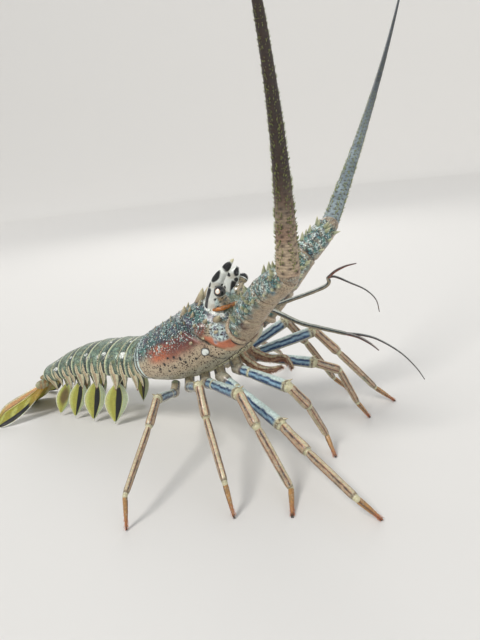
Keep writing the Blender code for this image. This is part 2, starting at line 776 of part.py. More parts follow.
def build_peduncle(side, draw):
    """Three thick spiny segments of an antenna base, cut from one bent tube."""
    joints = peduncle_joints(side)
    knots = []
    for start, end in zip(joints, joints[1:]):
        knots.append(start)
        knots.append(start.lerp(end, PEDUNCLE_SWELL_SHARE))
    knots.append(joints[-1] + (joints[-1] - joints[-2]).normalized() * LASH_OVERRUN)
    parts = []
    for segment in range(3):
        limb = tube("peduncle", knots, PEDUNCLE_RADII, 4)
        start = joints[segment]
        end = joints[segment + 1]
        along = (end - start).normalized()
        if segment > 0:
            behind = (start - joints[segment - 1]).normalized()
            bend = (behind + along).normalized()
            cut_plane(limb, start + bend * GAP / 2.0, -bend)
        if segment < 2:
            ahead = (joints[segment + 2] - end).normalized()
            bend = (along + ahead).normalized()
            cut_plane(limb, end - bend * GAP / 2.0, bend)
        else:
            point, bend = lash_joint(side)
            cut_plane(limb, point - bend * GAP / 2.0, bend)
        radii = [PEDUNCLE_RADII[2 * segment + step] for step in range(3)]
        points = [start, start.lerp(end, PEDUNCLE_SWELL_SHARE), end]
        spines = ring_spines(
            points, radii, draw, PEDUNCLE_SPINE_ROWS, PEDUNCLE_SPINE_START[segment],
            PEDUNCLE_SPINE_END, PEDUNCLE_SPINES_IN_ROW, PEDUNCLE_SPINE_LENGTH,
            PEDUNCLE_SPINE_RADIUS)
        combine(limb, "UNION", spines)
        parts.append((limb, start))
    return parts


def build_flagellum(side, draw):
    """An antenna lash in two lengths, each with rows of short spinules."""
    length = FLAGELLA[side][0]
    last_point = FLAGELLUM_POINTS - 1
    shares = [(step / last_point) ** FLAGELLUM_SPACING for step in range(FLAGELLUM_POINTS)]
    lower = shares[:FLAGELLUM_SPLIT]
    upper = shares[FLAGELLUM_SPLIT - 1:]
    parts = []
    for index, run in enumerate((lower, upper)):
        distances = [share * length for share in run]
        if index == 0:
            distances[-1] -= GAP * 0.5
        else:
            distances[0] += GAP * 0.5
        points = [flagellum_point(side, distance) for distance in distances]
        radii = [flagellum_radius(side, distance) for distance in distances]
        root = points[0]
        if index == 0:
            points[0] = root - (points[1] - root).normalized() * LASH_OVERRUN
        limb = tube("lash", points, radii, 2)
        if index == 0:
            bend = lash_joint(side)[1]
            cut_plane(limb, root + bend * GAP / 2.0, -bend)
            points[0] = root
        last, count, size, thickness = SPINULES[index]
        spines = ring_spines(
            points, radii, draw, SPINULE_ROWS, SPINULE_START, last, count, size, thickness, 4)
        combine(limb, "UNION", spines)
        parts.append((limb, root))
    return parts


def build_antennule(side):
    """The slender stem of an antennule and the pair of lashes at its end."""
    shape = ANTENNULES[side]
    stem_points = smooth_path(shape["stem"], STEM_POINTS)
    stem = tube("stem", stem_points, smooth_values(STEM_RADII, STEM_POINTS), 2)
    run = (stem_points[-1] - stem_points[-2]).normalized()
    long_points = smooth_path(shape["long"], STEM_POINTS)
    short_points = smooth_path(shape["short"], SHORT_LASH_POINTS)
    long_radii = smooth_values(LONG_LASH_RADII, STEM_POINTS)
    short_radii = smooth_values(SHORT_LASH_RADII, SHORT_LASH_POINTS)
    long_lash = tube("lash", long_points, long_radii, 1)
    short_lash = tube("lash", short_points, short_radii, 1)
    combine(long_lash, "UNION", [short_lash])
    cut_plane(stem, stem_points[-1] - run * GAP, run)
    cut_plane(long_lash, stem_points[-1], -run)
    return (stem, stem_points[0]), (long_lash, stem_points[-1])


def build_maxilliped(side):
    """The leg-like third maxilliped folded forward under the mouth."""
    points = smooth_path(MAXILLIPEDS[side], MAXILLIPED_POINTS)
    return tube("maxilliped", points, smooth_values(MAXILLIPED_RADII, MAXILLIPED_POINTS), 2)


def tail_state(segment, share):
    """Back point, slope, half width and height at a share of a tail segment."""
    rows = [TAIL_JOINTS[max(0, segment - 1)], TAIL_JOINTS[segment], TAIL_JOINTS[segment + 1],
            TAIL_JOINTS[min(len(TAIL_JOINTS) - 1, segment + 2)]]
    x, z = [hermite(rows[0][c], rows[1][c], rows[2][c], rows[3][c], share) for c in (0, 1)]
    slope, width, height = [
        rows[1][c] * (1.0 - share) + rows[2][c] * share for c in (2, 3, 4)]
    return x, z, slope, width, height


def tail_axes(slope):
    """Rearward and upward unit directions of a tail ring."""
    turn = math.radians(slope)
    rear = Vector((-math.cos(turn), 0.0, -math.sin(turn)))
    rise = Vector((-math.sin(turn), 0.0, math.cos(turn)))
    return rear, rise


def tail_point(segment, share, angle, growth):
    """World point of a tail ring at an angle in degrees from the back."""
    x, z, slope, width, height = tail_state(segment, share)
    rear, rise = tail_axes(slope)
    turn = math.radians(angle)
    side = math.sin(turn)
    upper = math.cos(turn)
    centre = Vector((x, 0.0, z)) - rise * height * BACK_SHARE
    reach = height * (BACK_SHARE if upper >= 0.0 else 1.0 - BACK_SHARE)
    bulge = BACK_BULGE if upper >= 0.0 else TAIL_BELLY_BULGE
    lift = reach * math.copysign(abs(upper) ** bulge, upper) * growth
    point = centre + rise * lift + Vector((0.0, width * growth * side, 0.0))
    if segment == 0:
        point -= rear * REAR_NOTCH * max(0.0, upper) * (1.0 - share)
    return point


def build_tail_segment(segment):
    """One tail ring with its arched back, groove, flat belly and pointed side plates."""
    turns = [360.0 * side / TAIL_SIDES for side in range(TAIL_SIDES)]
    rings = []
    for share, growth in RING_GROWTH:
        ring = [tail_point(segment, share, turn, growth) for turn in turns]
        rear = tail_axes(tail_state(segment, share)[2])[0]
        if share == 0.0:
            ring = [point + rear * GAP / 2.0 for point in ring]
        if share == 1.0:
            ring = [point - rear * GAP / 2.0 for point in ring]
        rings.append(ring)
    body = loft("tail", rings)
    shrink = PLEURON_SHRINK[segment]
    teeth = []
    for sign in SIDES.values():
        for reach, share, half in PLEURON_TEETH:
            x, z, slope, width, height = tail_state(segment, share)
            rear, rise = tail_axes(slope)
            top = Vector((x, sign * (width - PLEURON_INSET), z)) - rise * height * PLEURON_LEVEL
            depth = height * (1.0 - PLEURON_LEVEL) + reach * shrink
            tip = top - rise * depth + rear * PLEURON_LEAN[0]
            tip.y -= sign * PLEURON_LEAN[1]
            broad = half * shrink / PLEURON_THICKNESS
            teeth.append(thorn(top, tip, PLEURON_THICKNESS, 6, rear, broad))
    combine(body, "UNION", teeth)
    return body


def vane(name, centre, across, half_width, half_thickness, steps, lanes):
    """A thin leaf: points along and across it, raised to both sides, split alike on both."""
    work = bmesh.new()
    grids = []
    for face_sign in (1.0, -1.0):
        grid = []
        for step in range(steps + 1):
            share = step / steps
            nearby = min(share, 1.0 - PROBE)
            along = (centre(nearby + PROBE) - centre(nearby)).normalized()
            normal = across(share).cross(along).normalized()
            row = []
            for lane in range(lanes + 1):
                offset = 2.0 * lane / lanes - 1.0
                point = centre(share) + across(share) * (offset * half_width(share))
                point += normal * (face_sign * half_thickness(share, offset))
                point.z = max(point.z, 0.0)
                row.append(work.verts.new(point))
            grid.append(row)
        grids.append(grid)
    for side, grid in enumerate(grids):
        for step in range(steps):
            for lane in range(lanes):
                first = grid[step][lane]
                second = grid[step][lane + 1]
                third = grid[step + 1][lane + 1]
                fourth = grid[step + 1][lane]
                for corners in ((first, second, third), (first, third, fourth)):
                    work.faces.new(corners if side == 0 else corners[::-1])
    top, under = grids
    loop = [(step, 0) for step in range(steps)]
    loop += [(steps, lane) for lane in range(lanes)]
    loop += [(step, lanes) for step in range(steps, 0, -1)]
    loop += [(0, lane) for lane in range(lanes, 0, -1)]
    for here, there in zip(loop, loop[1:] + loop[:1]):
        a = top[here[0]][here[1]]
        b = top[there[0]][there[1]]
        c = under[there[0]][there[1]]
        d = under[here[0]][here[1]]
        work.faces.new((a, b, c))
        work.faces.new((a, c, d))
    return mesh_object(name, work)


def build_fan_blade(azimuth, offset, height, length, half_width, roll, sign):
    """One blade of the tail fan, sloping from the tail's end down to lie on the floor."""
    turn = math.radians(180.0 - sign * azimuth)
    tilt = math.radians(roll)
    run = Vector((math.cos(turn), math.sin(turn), 0.0))
    root = Vector((FAN_ROOT_X, sign * offset, 0.0))
    reach = math.sqrt(length ** 2 - height ** 2) * FAN_SLACK
    outward = Vector((run.y, -run.x, 0.0)) * sign
    side = outward * math.cos(tilt) - UP * math.sin(tilt)

    def width(share):
        growth = math.sin(min(1.0, share / FAN_WIDEST) * math.pi / 2.0)
        swell = FAN_ROOT_WIDTH + (1.0 - FAN_ROOT_WIDTH) * growth
        past = max(0.0, (share - FAN_WIDEST) / (1.0 - FAN_WIDEST))
        end = math.sqrt(max(0.0, 1.0 - past ** 2))
        return half_width * max(FAN_LEAST_WIDTH, swell * end)

    def centre(share):
        lift = FAN_REST + width(share) * math.sin(tilt)
        drop = height - FAN_REST - width(0.0) * math.sin(tilt)
        return root + run * (reach * share) + UP * (lift + drop * (1.0 - share) ** FAN_SAG)

    def across(share):
        return side

    def thickness(share, lane):
        rib = FAN_EDGE * (1.0 - abs(lane)) * (1.0 - FAN_THINNING * share)
        return FAN_THICKNESS / 2.0 * (FAN_EDGE + rib)

    return vane("blade", centre, across, width, thickness, *FAN_GRID)


def build_fan():
    """Telson and the four blades beside it, cut clear of the last tail segment."""
    x, z, slope = TAIL_JOINTS[-1][:3]
    rear = tail_axes(slope)[0]
    face = Vector((x, 0.0, z)) + rear * GAP / 2.0
    parts = []
    blade = build_fan_blade(*TELSON, 1.0)
    cut_plane(blade, face, -rear)
    parts.append((blade, "telson", face))
    for side, sign in SIDES.items():
        for label, sizes in UROPODS.items():
            blade = build_fan_blade(*sizes, sign)
            cut_plane(blade, face, -rear)
            parts.append((blade, "uropod_{}_{}".format(side, label), face))
    return parts


def build_swimmeret(order, sign, bodies):
    """One leaf-shaped swimmeret that hangs from a tail segment's belly."""
    segment = SWIMMERET_SEGMENTS[order] - 1
    half = SWIMMERET_HALF_WIDTH[order]
    x, z, slope, width, height = tail_state(segment, SWIMMERET_SHARE[order])
    rise = tail_axes(slope)[1]
    aside, sink = SWIMMERET_INSET
    root = Vector((x, sign * (width - aside), z)) - rise * (height - sink)
    drop = root.z - SWIMMERET_FLOOR

    def centre(share):
        back = -SWIMMERET_LEAN[order] * share
        return root + Vector((back, sign * SWIMMERET_SPREAD * share, -drop * share))

    turn = math.radians(-sign * SWIMMERET_TURN)

    def across(share):
        return Vector((math.cos(turn), math.sin(turn), 0.0))

    def leaf(share):
        stalk_length, stalk_width = SWIMMERET_STALK
        stalk = stalk_width if share < stalk_length else 0.0
        place = (share - SWIMMERET_BLADE_START) / (1.0 - SWIMMERET_BLADE_START)
        swell = math.sin(math.pi * min(1.0, max(0.0, place)) ** SWIMMERET_FULLNESS)
        return half * max(stalk, SWIMMERET_LEAST_WIDTH, swell)

    def thickness(share, lane):
        middle = (1.0 - SWIMMERET_EDGE) * (1.0 - abs(lane))
        return SWIMMERET_THICKNESS / 2.0 * (SWIMMERET_EDGE + middle)

    blade = vane("leaf", centre, across, leaf, thickness, *SWIMMERET_GRID)
    for body in bodies:
        combine(blade, "DIFFERENCE", [grown_copy(body)])
    return blade, root


def centre_on_origin(parts):
    """Move all parts level so that the whole model's box stands over the origin."""
    corners = [part.location + Vector(corner) for part in parts for corner in part.bound_box]
    for axis in (0, 1):
        low = min(corner[axis] for corner in corners)
        high = max(corner[axis] for corner in corners)
        for part in parts:
            part.location[axis] -= (low + high) / 2.0


def build_lobster():
    """Make every part, cut neighbours clear of each other and place them."""
    draw = random.Random(SEED)
    placed = []
    shell = build_carapace()
    shell_root = body_point(CARAPACE_LENGTH / 2.0, 0.0, 0.0)

    for side in SIDES:
        horn = build_horn(side)
        combine(horn, "DIFFERENCE", [grown_copy(shell)])
        eye = build_eye(side)
        combine(eye, "DIFFERENCE", [grown_copy(shell)])
        combine(eye, "DIFFERENCE", [grown_copy(horn)])
        root = body_point(HORN_PATH[1][0], -SIDES[side] * HORN_PATH[1][1], HORN_PATH[1][2])
        placed.append(place(horn, "horn_" + side, "horn", root))
        root = body_point(EYE_CENTRE[0], -SIDES[side] * EYE_CENTRE[1], EYE_CENTRE[2])
        placed.append(place(eye, "eye_" + side, "eye", root))
        for index, (limb, root) in enumerate(build_peduncle(side, draw)):
            if index == 0:
                combine(limb, "DIFFERENCE", [grown_copy(shell)])
            name = "antenna_{}_{}".format(side, index + 1)
            placed.append(place(limb, name, "antenna", root))
        for index, (limb, root) in enumerate(build_flagellum(side, draw)):
            name = "flagellum_{}_{}".format(side, index + 1)
            placed.append(place(limb, name, "antenna", root))
        stem, lashes = build_antennule(side)
        combine(stem[0], "DIFFERENCE", [grown_copy(shell)])
        placed.append(place(stem[0], "antennule_" + side, "antenna", stem[1]))
        placed.append(place(lashes[0], "antennule_lashes_" + side, "antenna", lashes[1]))
        jaw = build_maxilliped(side)
        combine(jaw, "DIFFERENCE", [grown_copy(shell)])
        placed.append(place(jaw, "maxilliped_" + side, "mouth", MAXILLIPEDS[side][1]))
        for number in LEG_LENGTHS:
            leg, root = upper_leg(side, number)
            combine(leg, "DIFFERENCE", [grown_copy(shell)])
            placed.append(place(leg, "leg_{}_{}_upper".format(side, number), "leg", root))
            leg, root = lower_leg(side, number)
            keep_largest(leg)
            placed.append(place(leg, "leg_{}_{}_lower".format(side, number), "leg", root))

    bodies = [build_tail_segment(segment) for segment in range(len(TAIL_JOINTS) - 1)]
    for order, number in enumerate(SWIMMERET_SEGMENTS):
        for side, sign in SIDES.items():
            blade, root = build_swimmeret(order, sign, bodies[number - 1:number + 1])
            name = "swimmeret_{}_{}".format(side, number)
            placed.append(place(blade, name, "swimmeret", root))
    for blade, name, root in build_fan():
        keep_largest(blade)
        placed.append(place(blade, name, "fan", root))
    for segment, body in enumerate(bodies):
        x, z = TAIL_JOINTS[segment][:2]
        placed.append(place(body, "abdomen_{}".format(segment + 1), "tail", (x, 0.0, z)))

    combine(shell, "UNION", carapace_spines(random.Random(SEED)))
    placed.append(place(shell, "cephalothorax", "shell", shell_root))
    return placed


def main():
    """Build the lobster in a collection of its own, under one empty."""
    clear_scene()
    lobster = bpy.data.collections.new("spiny_lobster")
    bpy.context.scene.collection.children.link(lobster)
    holder = bpy.data.objects.new("spiny_lobster", None)
    lobster.objects.link(holder)
    parts = build_lobster()
    centre_on_origin(parts)
    for part in parts:
        bpy.context.scene.collection.objects.unlink(part)
        lobster.objects.link(part)
        part.parent = holder


main()
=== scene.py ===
"""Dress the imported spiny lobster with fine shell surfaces, markings and finishes.

Lengths are in millimetres and angles in degrees until a surface becomes a mesh, which is
in metres.  The design frame has +X toward the head, +Y the animal's left side, +Z up, the
floor at z = 0 and x = 0 under the middle of the carapace.  The body frame runs along the
carapace from its rear margin and is tilted up by the body's pitch.  Stance moves both
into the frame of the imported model, from the boxes of its nodes.
"""
import logging
import math
import random
from dataclasses import dataclass, field
from enum import Enum
from typing import Any, Callable, Sequence

import bpy
import numpy as np
from mathutils import Matrix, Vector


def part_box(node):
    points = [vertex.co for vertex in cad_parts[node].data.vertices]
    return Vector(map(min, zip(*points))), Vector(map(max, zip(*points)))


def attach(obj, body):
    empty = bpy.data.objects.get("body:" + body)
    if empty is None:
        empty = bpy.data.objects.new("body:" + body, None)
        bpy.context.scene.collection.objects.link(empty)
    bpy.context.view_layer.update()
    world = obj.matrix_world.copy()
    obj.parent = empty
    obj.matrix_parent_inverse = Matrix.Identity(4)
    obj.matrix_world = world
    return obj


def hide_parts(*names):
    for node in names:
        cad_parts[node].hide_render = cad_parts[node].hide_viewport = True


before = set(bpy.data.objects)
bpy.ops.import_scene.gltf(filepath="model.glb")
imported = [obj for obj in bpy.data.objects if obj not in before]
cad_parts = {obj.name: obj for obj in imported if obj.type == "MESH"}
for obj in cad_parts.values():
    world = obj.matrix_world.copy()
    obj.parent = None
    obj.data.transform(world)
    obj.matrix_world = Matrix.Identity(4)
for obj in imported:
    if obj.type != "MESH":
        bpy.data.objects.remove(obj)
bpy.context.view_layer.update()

MM = 0.001
BODY = "root"
SEED = 11
UP = np.array((0.0, 0.0, 1.0))
SOCKET_KINDS = {"Vector": "NodeSocketVector", "Color": "NodeSocketColor"}
NUMBER_SOCKET = "NodeSocketFloat"
DOT_BEND = 0.0006
DOT_BEND_SCALE = 900.0
DOT_GAIN = 14.0
VEIN_GAIN = 24.0
PORE_SCALE = 1500.0
FULL_TURN = 6.28
WAVES = 6
WAVE_STRETCH = (0.6, 1.6)

Array = np.ndarray
Row = Sequence[float]
Knots = Sequence[Row]
Layer = tuple[Array, Array | float]
log = logging.getLogger("lobster")


class Side(Enum):
    """The two sides of the animal, with the sign of Y on each."""

    RIGHT = -1.0
    LEFT = 1.0

    @property
    def label(self) -> str:
        """The word that node names use."""
        return self.name.lower()

    def point(self, x: float, off: float, z: float) -> Array:
        """A place at a distance off the midline on this side."""
        return np.array((x, self.value * off, z))


def shade(red: int, green: int, blue: int) -> Array:
    """Linear colour from display values: each is the value over 255 to the power 2.2."""
    return (np.array((red, green, blue)) / 255.0) ** 2.2


class Tone:
    """Named colours of the animal's shell, in linear light."""

    BLACK = shade(16, 18, 22)
    INK = shade(34, 42, 50)
    SLATE = shade(70, 88, 98)
    PLUM = shade(84, 58, 66)
    TEAL = shade(96, 150, 142)
    MIST = shade(210, 230, 226)
    WHITE = shade(238, 242, 236)
    CREAM = shade(206, 200, 164)
    SAGE = shade(168, 180, 146)
    SAND = shade(172, 158, 132)
    FLANK = shade(178, 170, 146)
    RUST = shade(184, 94, 60)
    BLOOD = shade(112, 42, 36)
    EARTH = shade(92, 62, 44)
    MOSS = shade(58, 70, 58)
    RING = shade(140, 164, 140)
    DUSK = shade(102, 122, 106)
    OLIVE = shade(158, 152, 52)
    LEMON = shade(190, 196, 108)
    AMBER = shade(204, 124, 48)
    GOLD = shade(190, 142, 84)
    BLUE = shade(30, 76, 138)
    SKY = shade(96, 146, 184)
    PINK = shade(202, 158, 124)
    TAN = shade(180, 160, 134)
    BARK = shade(96, 72, 64)
    HAZE = shade(146, 162, 168)
    BRICK = shade(126, 74, 58)
    VIOLET = shade(92, 84, 128)


def unit(vectors: Array) -> Array:
    """Vectors over their own length."""
    return vectors / np.maximum(np.linalg.norm(vectors, axis=-1, keepdims=True), 1e-9)


def heading(azimuth: float, elevation: float) -> Array:
    """Unit direction from an azimuth about +Z, from +X, and an elevation."""
    turn = math.radians(azimuth)
    rise = math.radians(elevation)
    flat = math.cos(rise)
    return np.array((flat * math.cos(turn), flat * math.sin(turn), math.sin(rise)))


def chain(start: Array, lengths: Knots) -> Array:
    """Places from a start over lengths in a row, each with its azimuth and elevation."""
    moves = [heading(azimuth, elevation) * length for length, azimuth, elevation in lengths]
    return start + np.cumsum([np.zeros(3), *moves], axis=0)


def around(count: int) -> Array:
    """Angles of evenly spaced points around a ring, in degrees."""
    return np.arange(count) * 360.0 / count


def step(values: Array, low: float, high: float) -> Array:
    """Smooth step: 3s^2 - 2s^3 of the share s of the way from low to high, which may be
    the smaller one."""
    share = np.clip((values - low) / (high - low), 0.0, 1.0)
    return share * share * (3.0 - 2.0 * share)


def band(values: Array, centre: float, half: float, soft: float) -> Array:
    """One inside centre plus or minus half, falling to zero over soft on either side."""
    return 1.0 - step(np.abs(values - centre), half, half + soft)


def spot(first: Array, second: Array, centre: tuple[float, float],
         radii: tuple[float, float], soft: float = 0.25) -> Array:
    """One inside an ellipse: the distance from its centre over its radii is below one."""
    away = np.hypot((first - centre[0]) / radii[0], (second - centre[1]) / radii[1])
    return 1.0 - step(away, 1.0 - soft, 1.0)


def blend(base: Array, colour: Array, mask: Array | float) -> Array:
    """Base moved toward colour by a mask between zero and one."""
    share = np.asarray(mask)[..., None]
    return base * (1.0 - share) + colour * share


def layered(shape: tuple[int, ...], base: Array, *layers: Layer) -> Array:
    """A base colour over a grid, with each layer's colour blended on by its mask in turn.

    Args:
        shape: rows and columns of the grid.
        base: the first colour.
        layers: colours, plain or by point, each with its mask.
    Returns:
        The colour of each point.
    """
    tint = np.broadcast_to(base, shape + (3,))
    for colour, mask in layers:
        tint = blend(tint, colour, mask)
    return tint


@dataclass(frozen=True)
class Stripe:
    """A stripe of colour across one measure of a surface.

    Args:
        colour: its colour.
        middle: where its middle lies.
        half: half of its full width.
        soft: width over which each side fades.
        strength: how much it hides what is under it.
    """

    colour: Array
    middle: float
    half: float
    soft: float
    strength: float = 1.0

    def layer(self, values: Array) -> Layer:
        """Its colour and its mask over values of the measure."""
        return self.colour, self.strength * band(values, self.middle, self.half, self.soft)


@dataclass(frozen=True)
class Edge:
    """Colour that covers a surface past one value of a measure.

    Args:
        colour: its colour.
        start: where it begins.
        full: where it is full, on either side of the start.
        strength: how much it hides what is under it.
    """

    colour: Array
    start: float
    full: float
    strength: float = 1.0

    def layer(self, values: Array) -> Layer:
        """Its colour and its mask over values of the measure."""
        return self.colour, self.strength * step(values, self.start, self.full)


Zones = tuple[Stripe | Edge, ...]


def zones(values: Array, parts: Zones) -> list[Layer]:
    """Layers of stripes and edges over values of their measure."""
    return [part.layer(values) for part in parts]


def ripple(first: Array, second: Array, pitch: float, seed: int) -> Array:
    """Soft irregular waves: the mean of sines with seeded directions and phases."""
    draw = np.random.default_rng(seed)
    total = np.zeros(np.broadcast(first, second).shape)
    turns = draw.uniform(0, FULL_TURN, WAVES)
    phases = draw.uniform(0, FULL_TURN, WAVES)
    for turn, phase, stretch in zip(turns, phases, draw.uniform(*WAVE_STRETCH, WAVES)):
        wave = (first * math.cos(turn) + second * math.sin(turn)) * stretch * FULL_TURN / pitch
        total += np.sin(wave + phase)
    return total / WAVES


def smooth(knots: Knots, count: int) -> Array:
    """Count points of a cubic curve through knots, evenly shared, with slopes from each
    knot's neighbours: start (2s^3 - 3s^2 + 1), end (3s^2 - 2s^3), and the two slopes."""
    rows = np.asarray(knots, dtype=float)
    place = np.linspace(0.0, len(rows) - 1.0, count)
    return cubic(rows, place)


def cubic(rows: Array, place: Array) -> Array:
    """Rows read at fractional places by the same cubic as smooth."""
    index = np.clip(place.astype(int), 0, len(rows) - 2)
    share = (place - index)[..., None]
    before = rows[np.maximum(index - 1, 0)]
    start = rows[index]
    end = rows[index + 1]
    after = rows[np.minimum(index + 2, len(rows) - 1)]
    square = share * share
    cube = square * share
    return ((2 * cube - 3 * square + 1) * start + (cube - 2 * square + share)
            * (end - before) / 2 + (3 * square - 2 * cube) * end + (cube - square)
            * (after - start) / 2)


def read_table(table: Knots, places: Array) -> Array:
    """The other columns of a table at places in its first column, by the cubic."""
    rows = np.asarray(table, dtype=float)
    index = np.clip(np.searchsorted(rows[:, 0], places, side="right") - 1, 0, len(rows) - 2)
    share = np.clip((places - rows[index, 0]) / (rows[index + 1, 0] - rows[index, 0]), 0, 1)
    return cubic(rows[:, 1:], index + share)


def profile(outline: Knots, places: Array) -> Array:
    """Straight-line reading of an outline of (place, value) pairs."""
    rows = np.asarray(outline, dtype=float)
    return np.interp(places, rows[:, 0], rows[:, 1])


@dataclass
class Path:
    """A run of ring centres with the directions across and above each.

    Args:
        points: ring centres, one row each.
        above: a direction that the rings' top points toward.
    """

    points: Array
    above: Array

    def frames(self) -> tuple[Array, Array, Array]:
        """Run, side and top at each centre: side is run x above, top is side x run."""
        run = unit(np.gradient(self.points, axis=0))
        side = unit(np.cross(run, self.above))
        return run, side, np.cross(side, run)

    def outward(self, rows: Array, turn: Array) -> Array:
        """Directions away from some of the centres: top cos turn + side sin turn."""
        _, side, top = self.frames()
        return top[rows] * np.cos(turn)[:, None] + side[rows] * np.sin(turn)[:, None]

    def distance(self) -> Array:
        """Length along the path at each centre."""
        gaps = np.linalg.norm(np.diff(self.points, axis=0), axis=1)
        return np.concatenate(([0.0], np.cumsum(gaps)))

    def tube(self, radii: Array, columns: int, wide: float = 1.0,
             ridges: Array | float = 0.0) -> tuple[Array, Array, Array]:
        """A round limb: centre + radius (top cos t + wide side sin t)(1 + ridges).

        Args:
            radii: ring radii.
            columns: points in each ring.
            wide: how much wider than tall the rings are.
            ridges: relief over the surface as a share of the radius.
        Returns:
            The grid, the distance along and the angle t in degrees, both by row and column.
        """
        turns = np.radians(around(columns))
        _, side, top = self.frames()
        ring = (top[:, None] * np.cos(turns)[None, :, None]
                + wide * side[:, None] * np.sin(turns)[None, :, None])
        reach = np.asarray(radii)[:, None] * (1.0 + np.zeros((1, columns)) + ridges)
        grid = self.points[:, None] + ring * reach[..., None]
        along, angle = np.meshgrid(self.distance(), np.degrees(turns), indexing="ij")
        return grid, along, angle


@dataclass(frozen=True)
class Spikes:
    """Curved spines: centre = base + ahead L s + bend s^2, radius R (1 - s)^p.

    Args:
        base: roots, one row each.
        ahead: unit directions.
        length: lengths.
        radius: root radii.
        bend: how far each tip is moved sideways.
        rows: rings in each spine.
        columns: points in each ring.
    """

    base: Array
    ahead: Array
    length: Array
    radius: Array
    bend: Array
    rows: int
    columns: int

    def grid(self) -> Array:
        """Coordinates by spine, ring and point."""
        share = np.linspace(0.0, 1.0, self.rows)[None, :, None]
        helper = np.where(np.abs(self.ahead[:, 2:3]) > 0.8, np.array((1.0, 0.0, 0.0)), UP)
        side = unit(np.cross(self.ahead, helper))
        top = np.cross(side, self.ahead)
        centre = self.base[:, None] + self.ahead[:, None] * self.length[:, None, None] * share
        centre = centre + self.bend[:, None] * share ** 2
        turns = np.radians(around(self.columns))
        ring = (top[:, None, None] * np.cos(turns)[None, None, :, None]
                + side[:, None, None] * np.sin(turns)[None, None, :, None])
        taper = (1.0 - share) ** 0.85 + 0.02
        return centre[:, :, None] + ring * (self.radius[:, None, None] * taper)[..., None]


def placed(name: str, data: bpy.types.ID) -> bpy.types.Object:
    """A new object of the scene that shows the data."""
    obj = bpy.data.objects.new(name, data)
    bpy.context.scene.collection.objects.link(obj)
    return obj


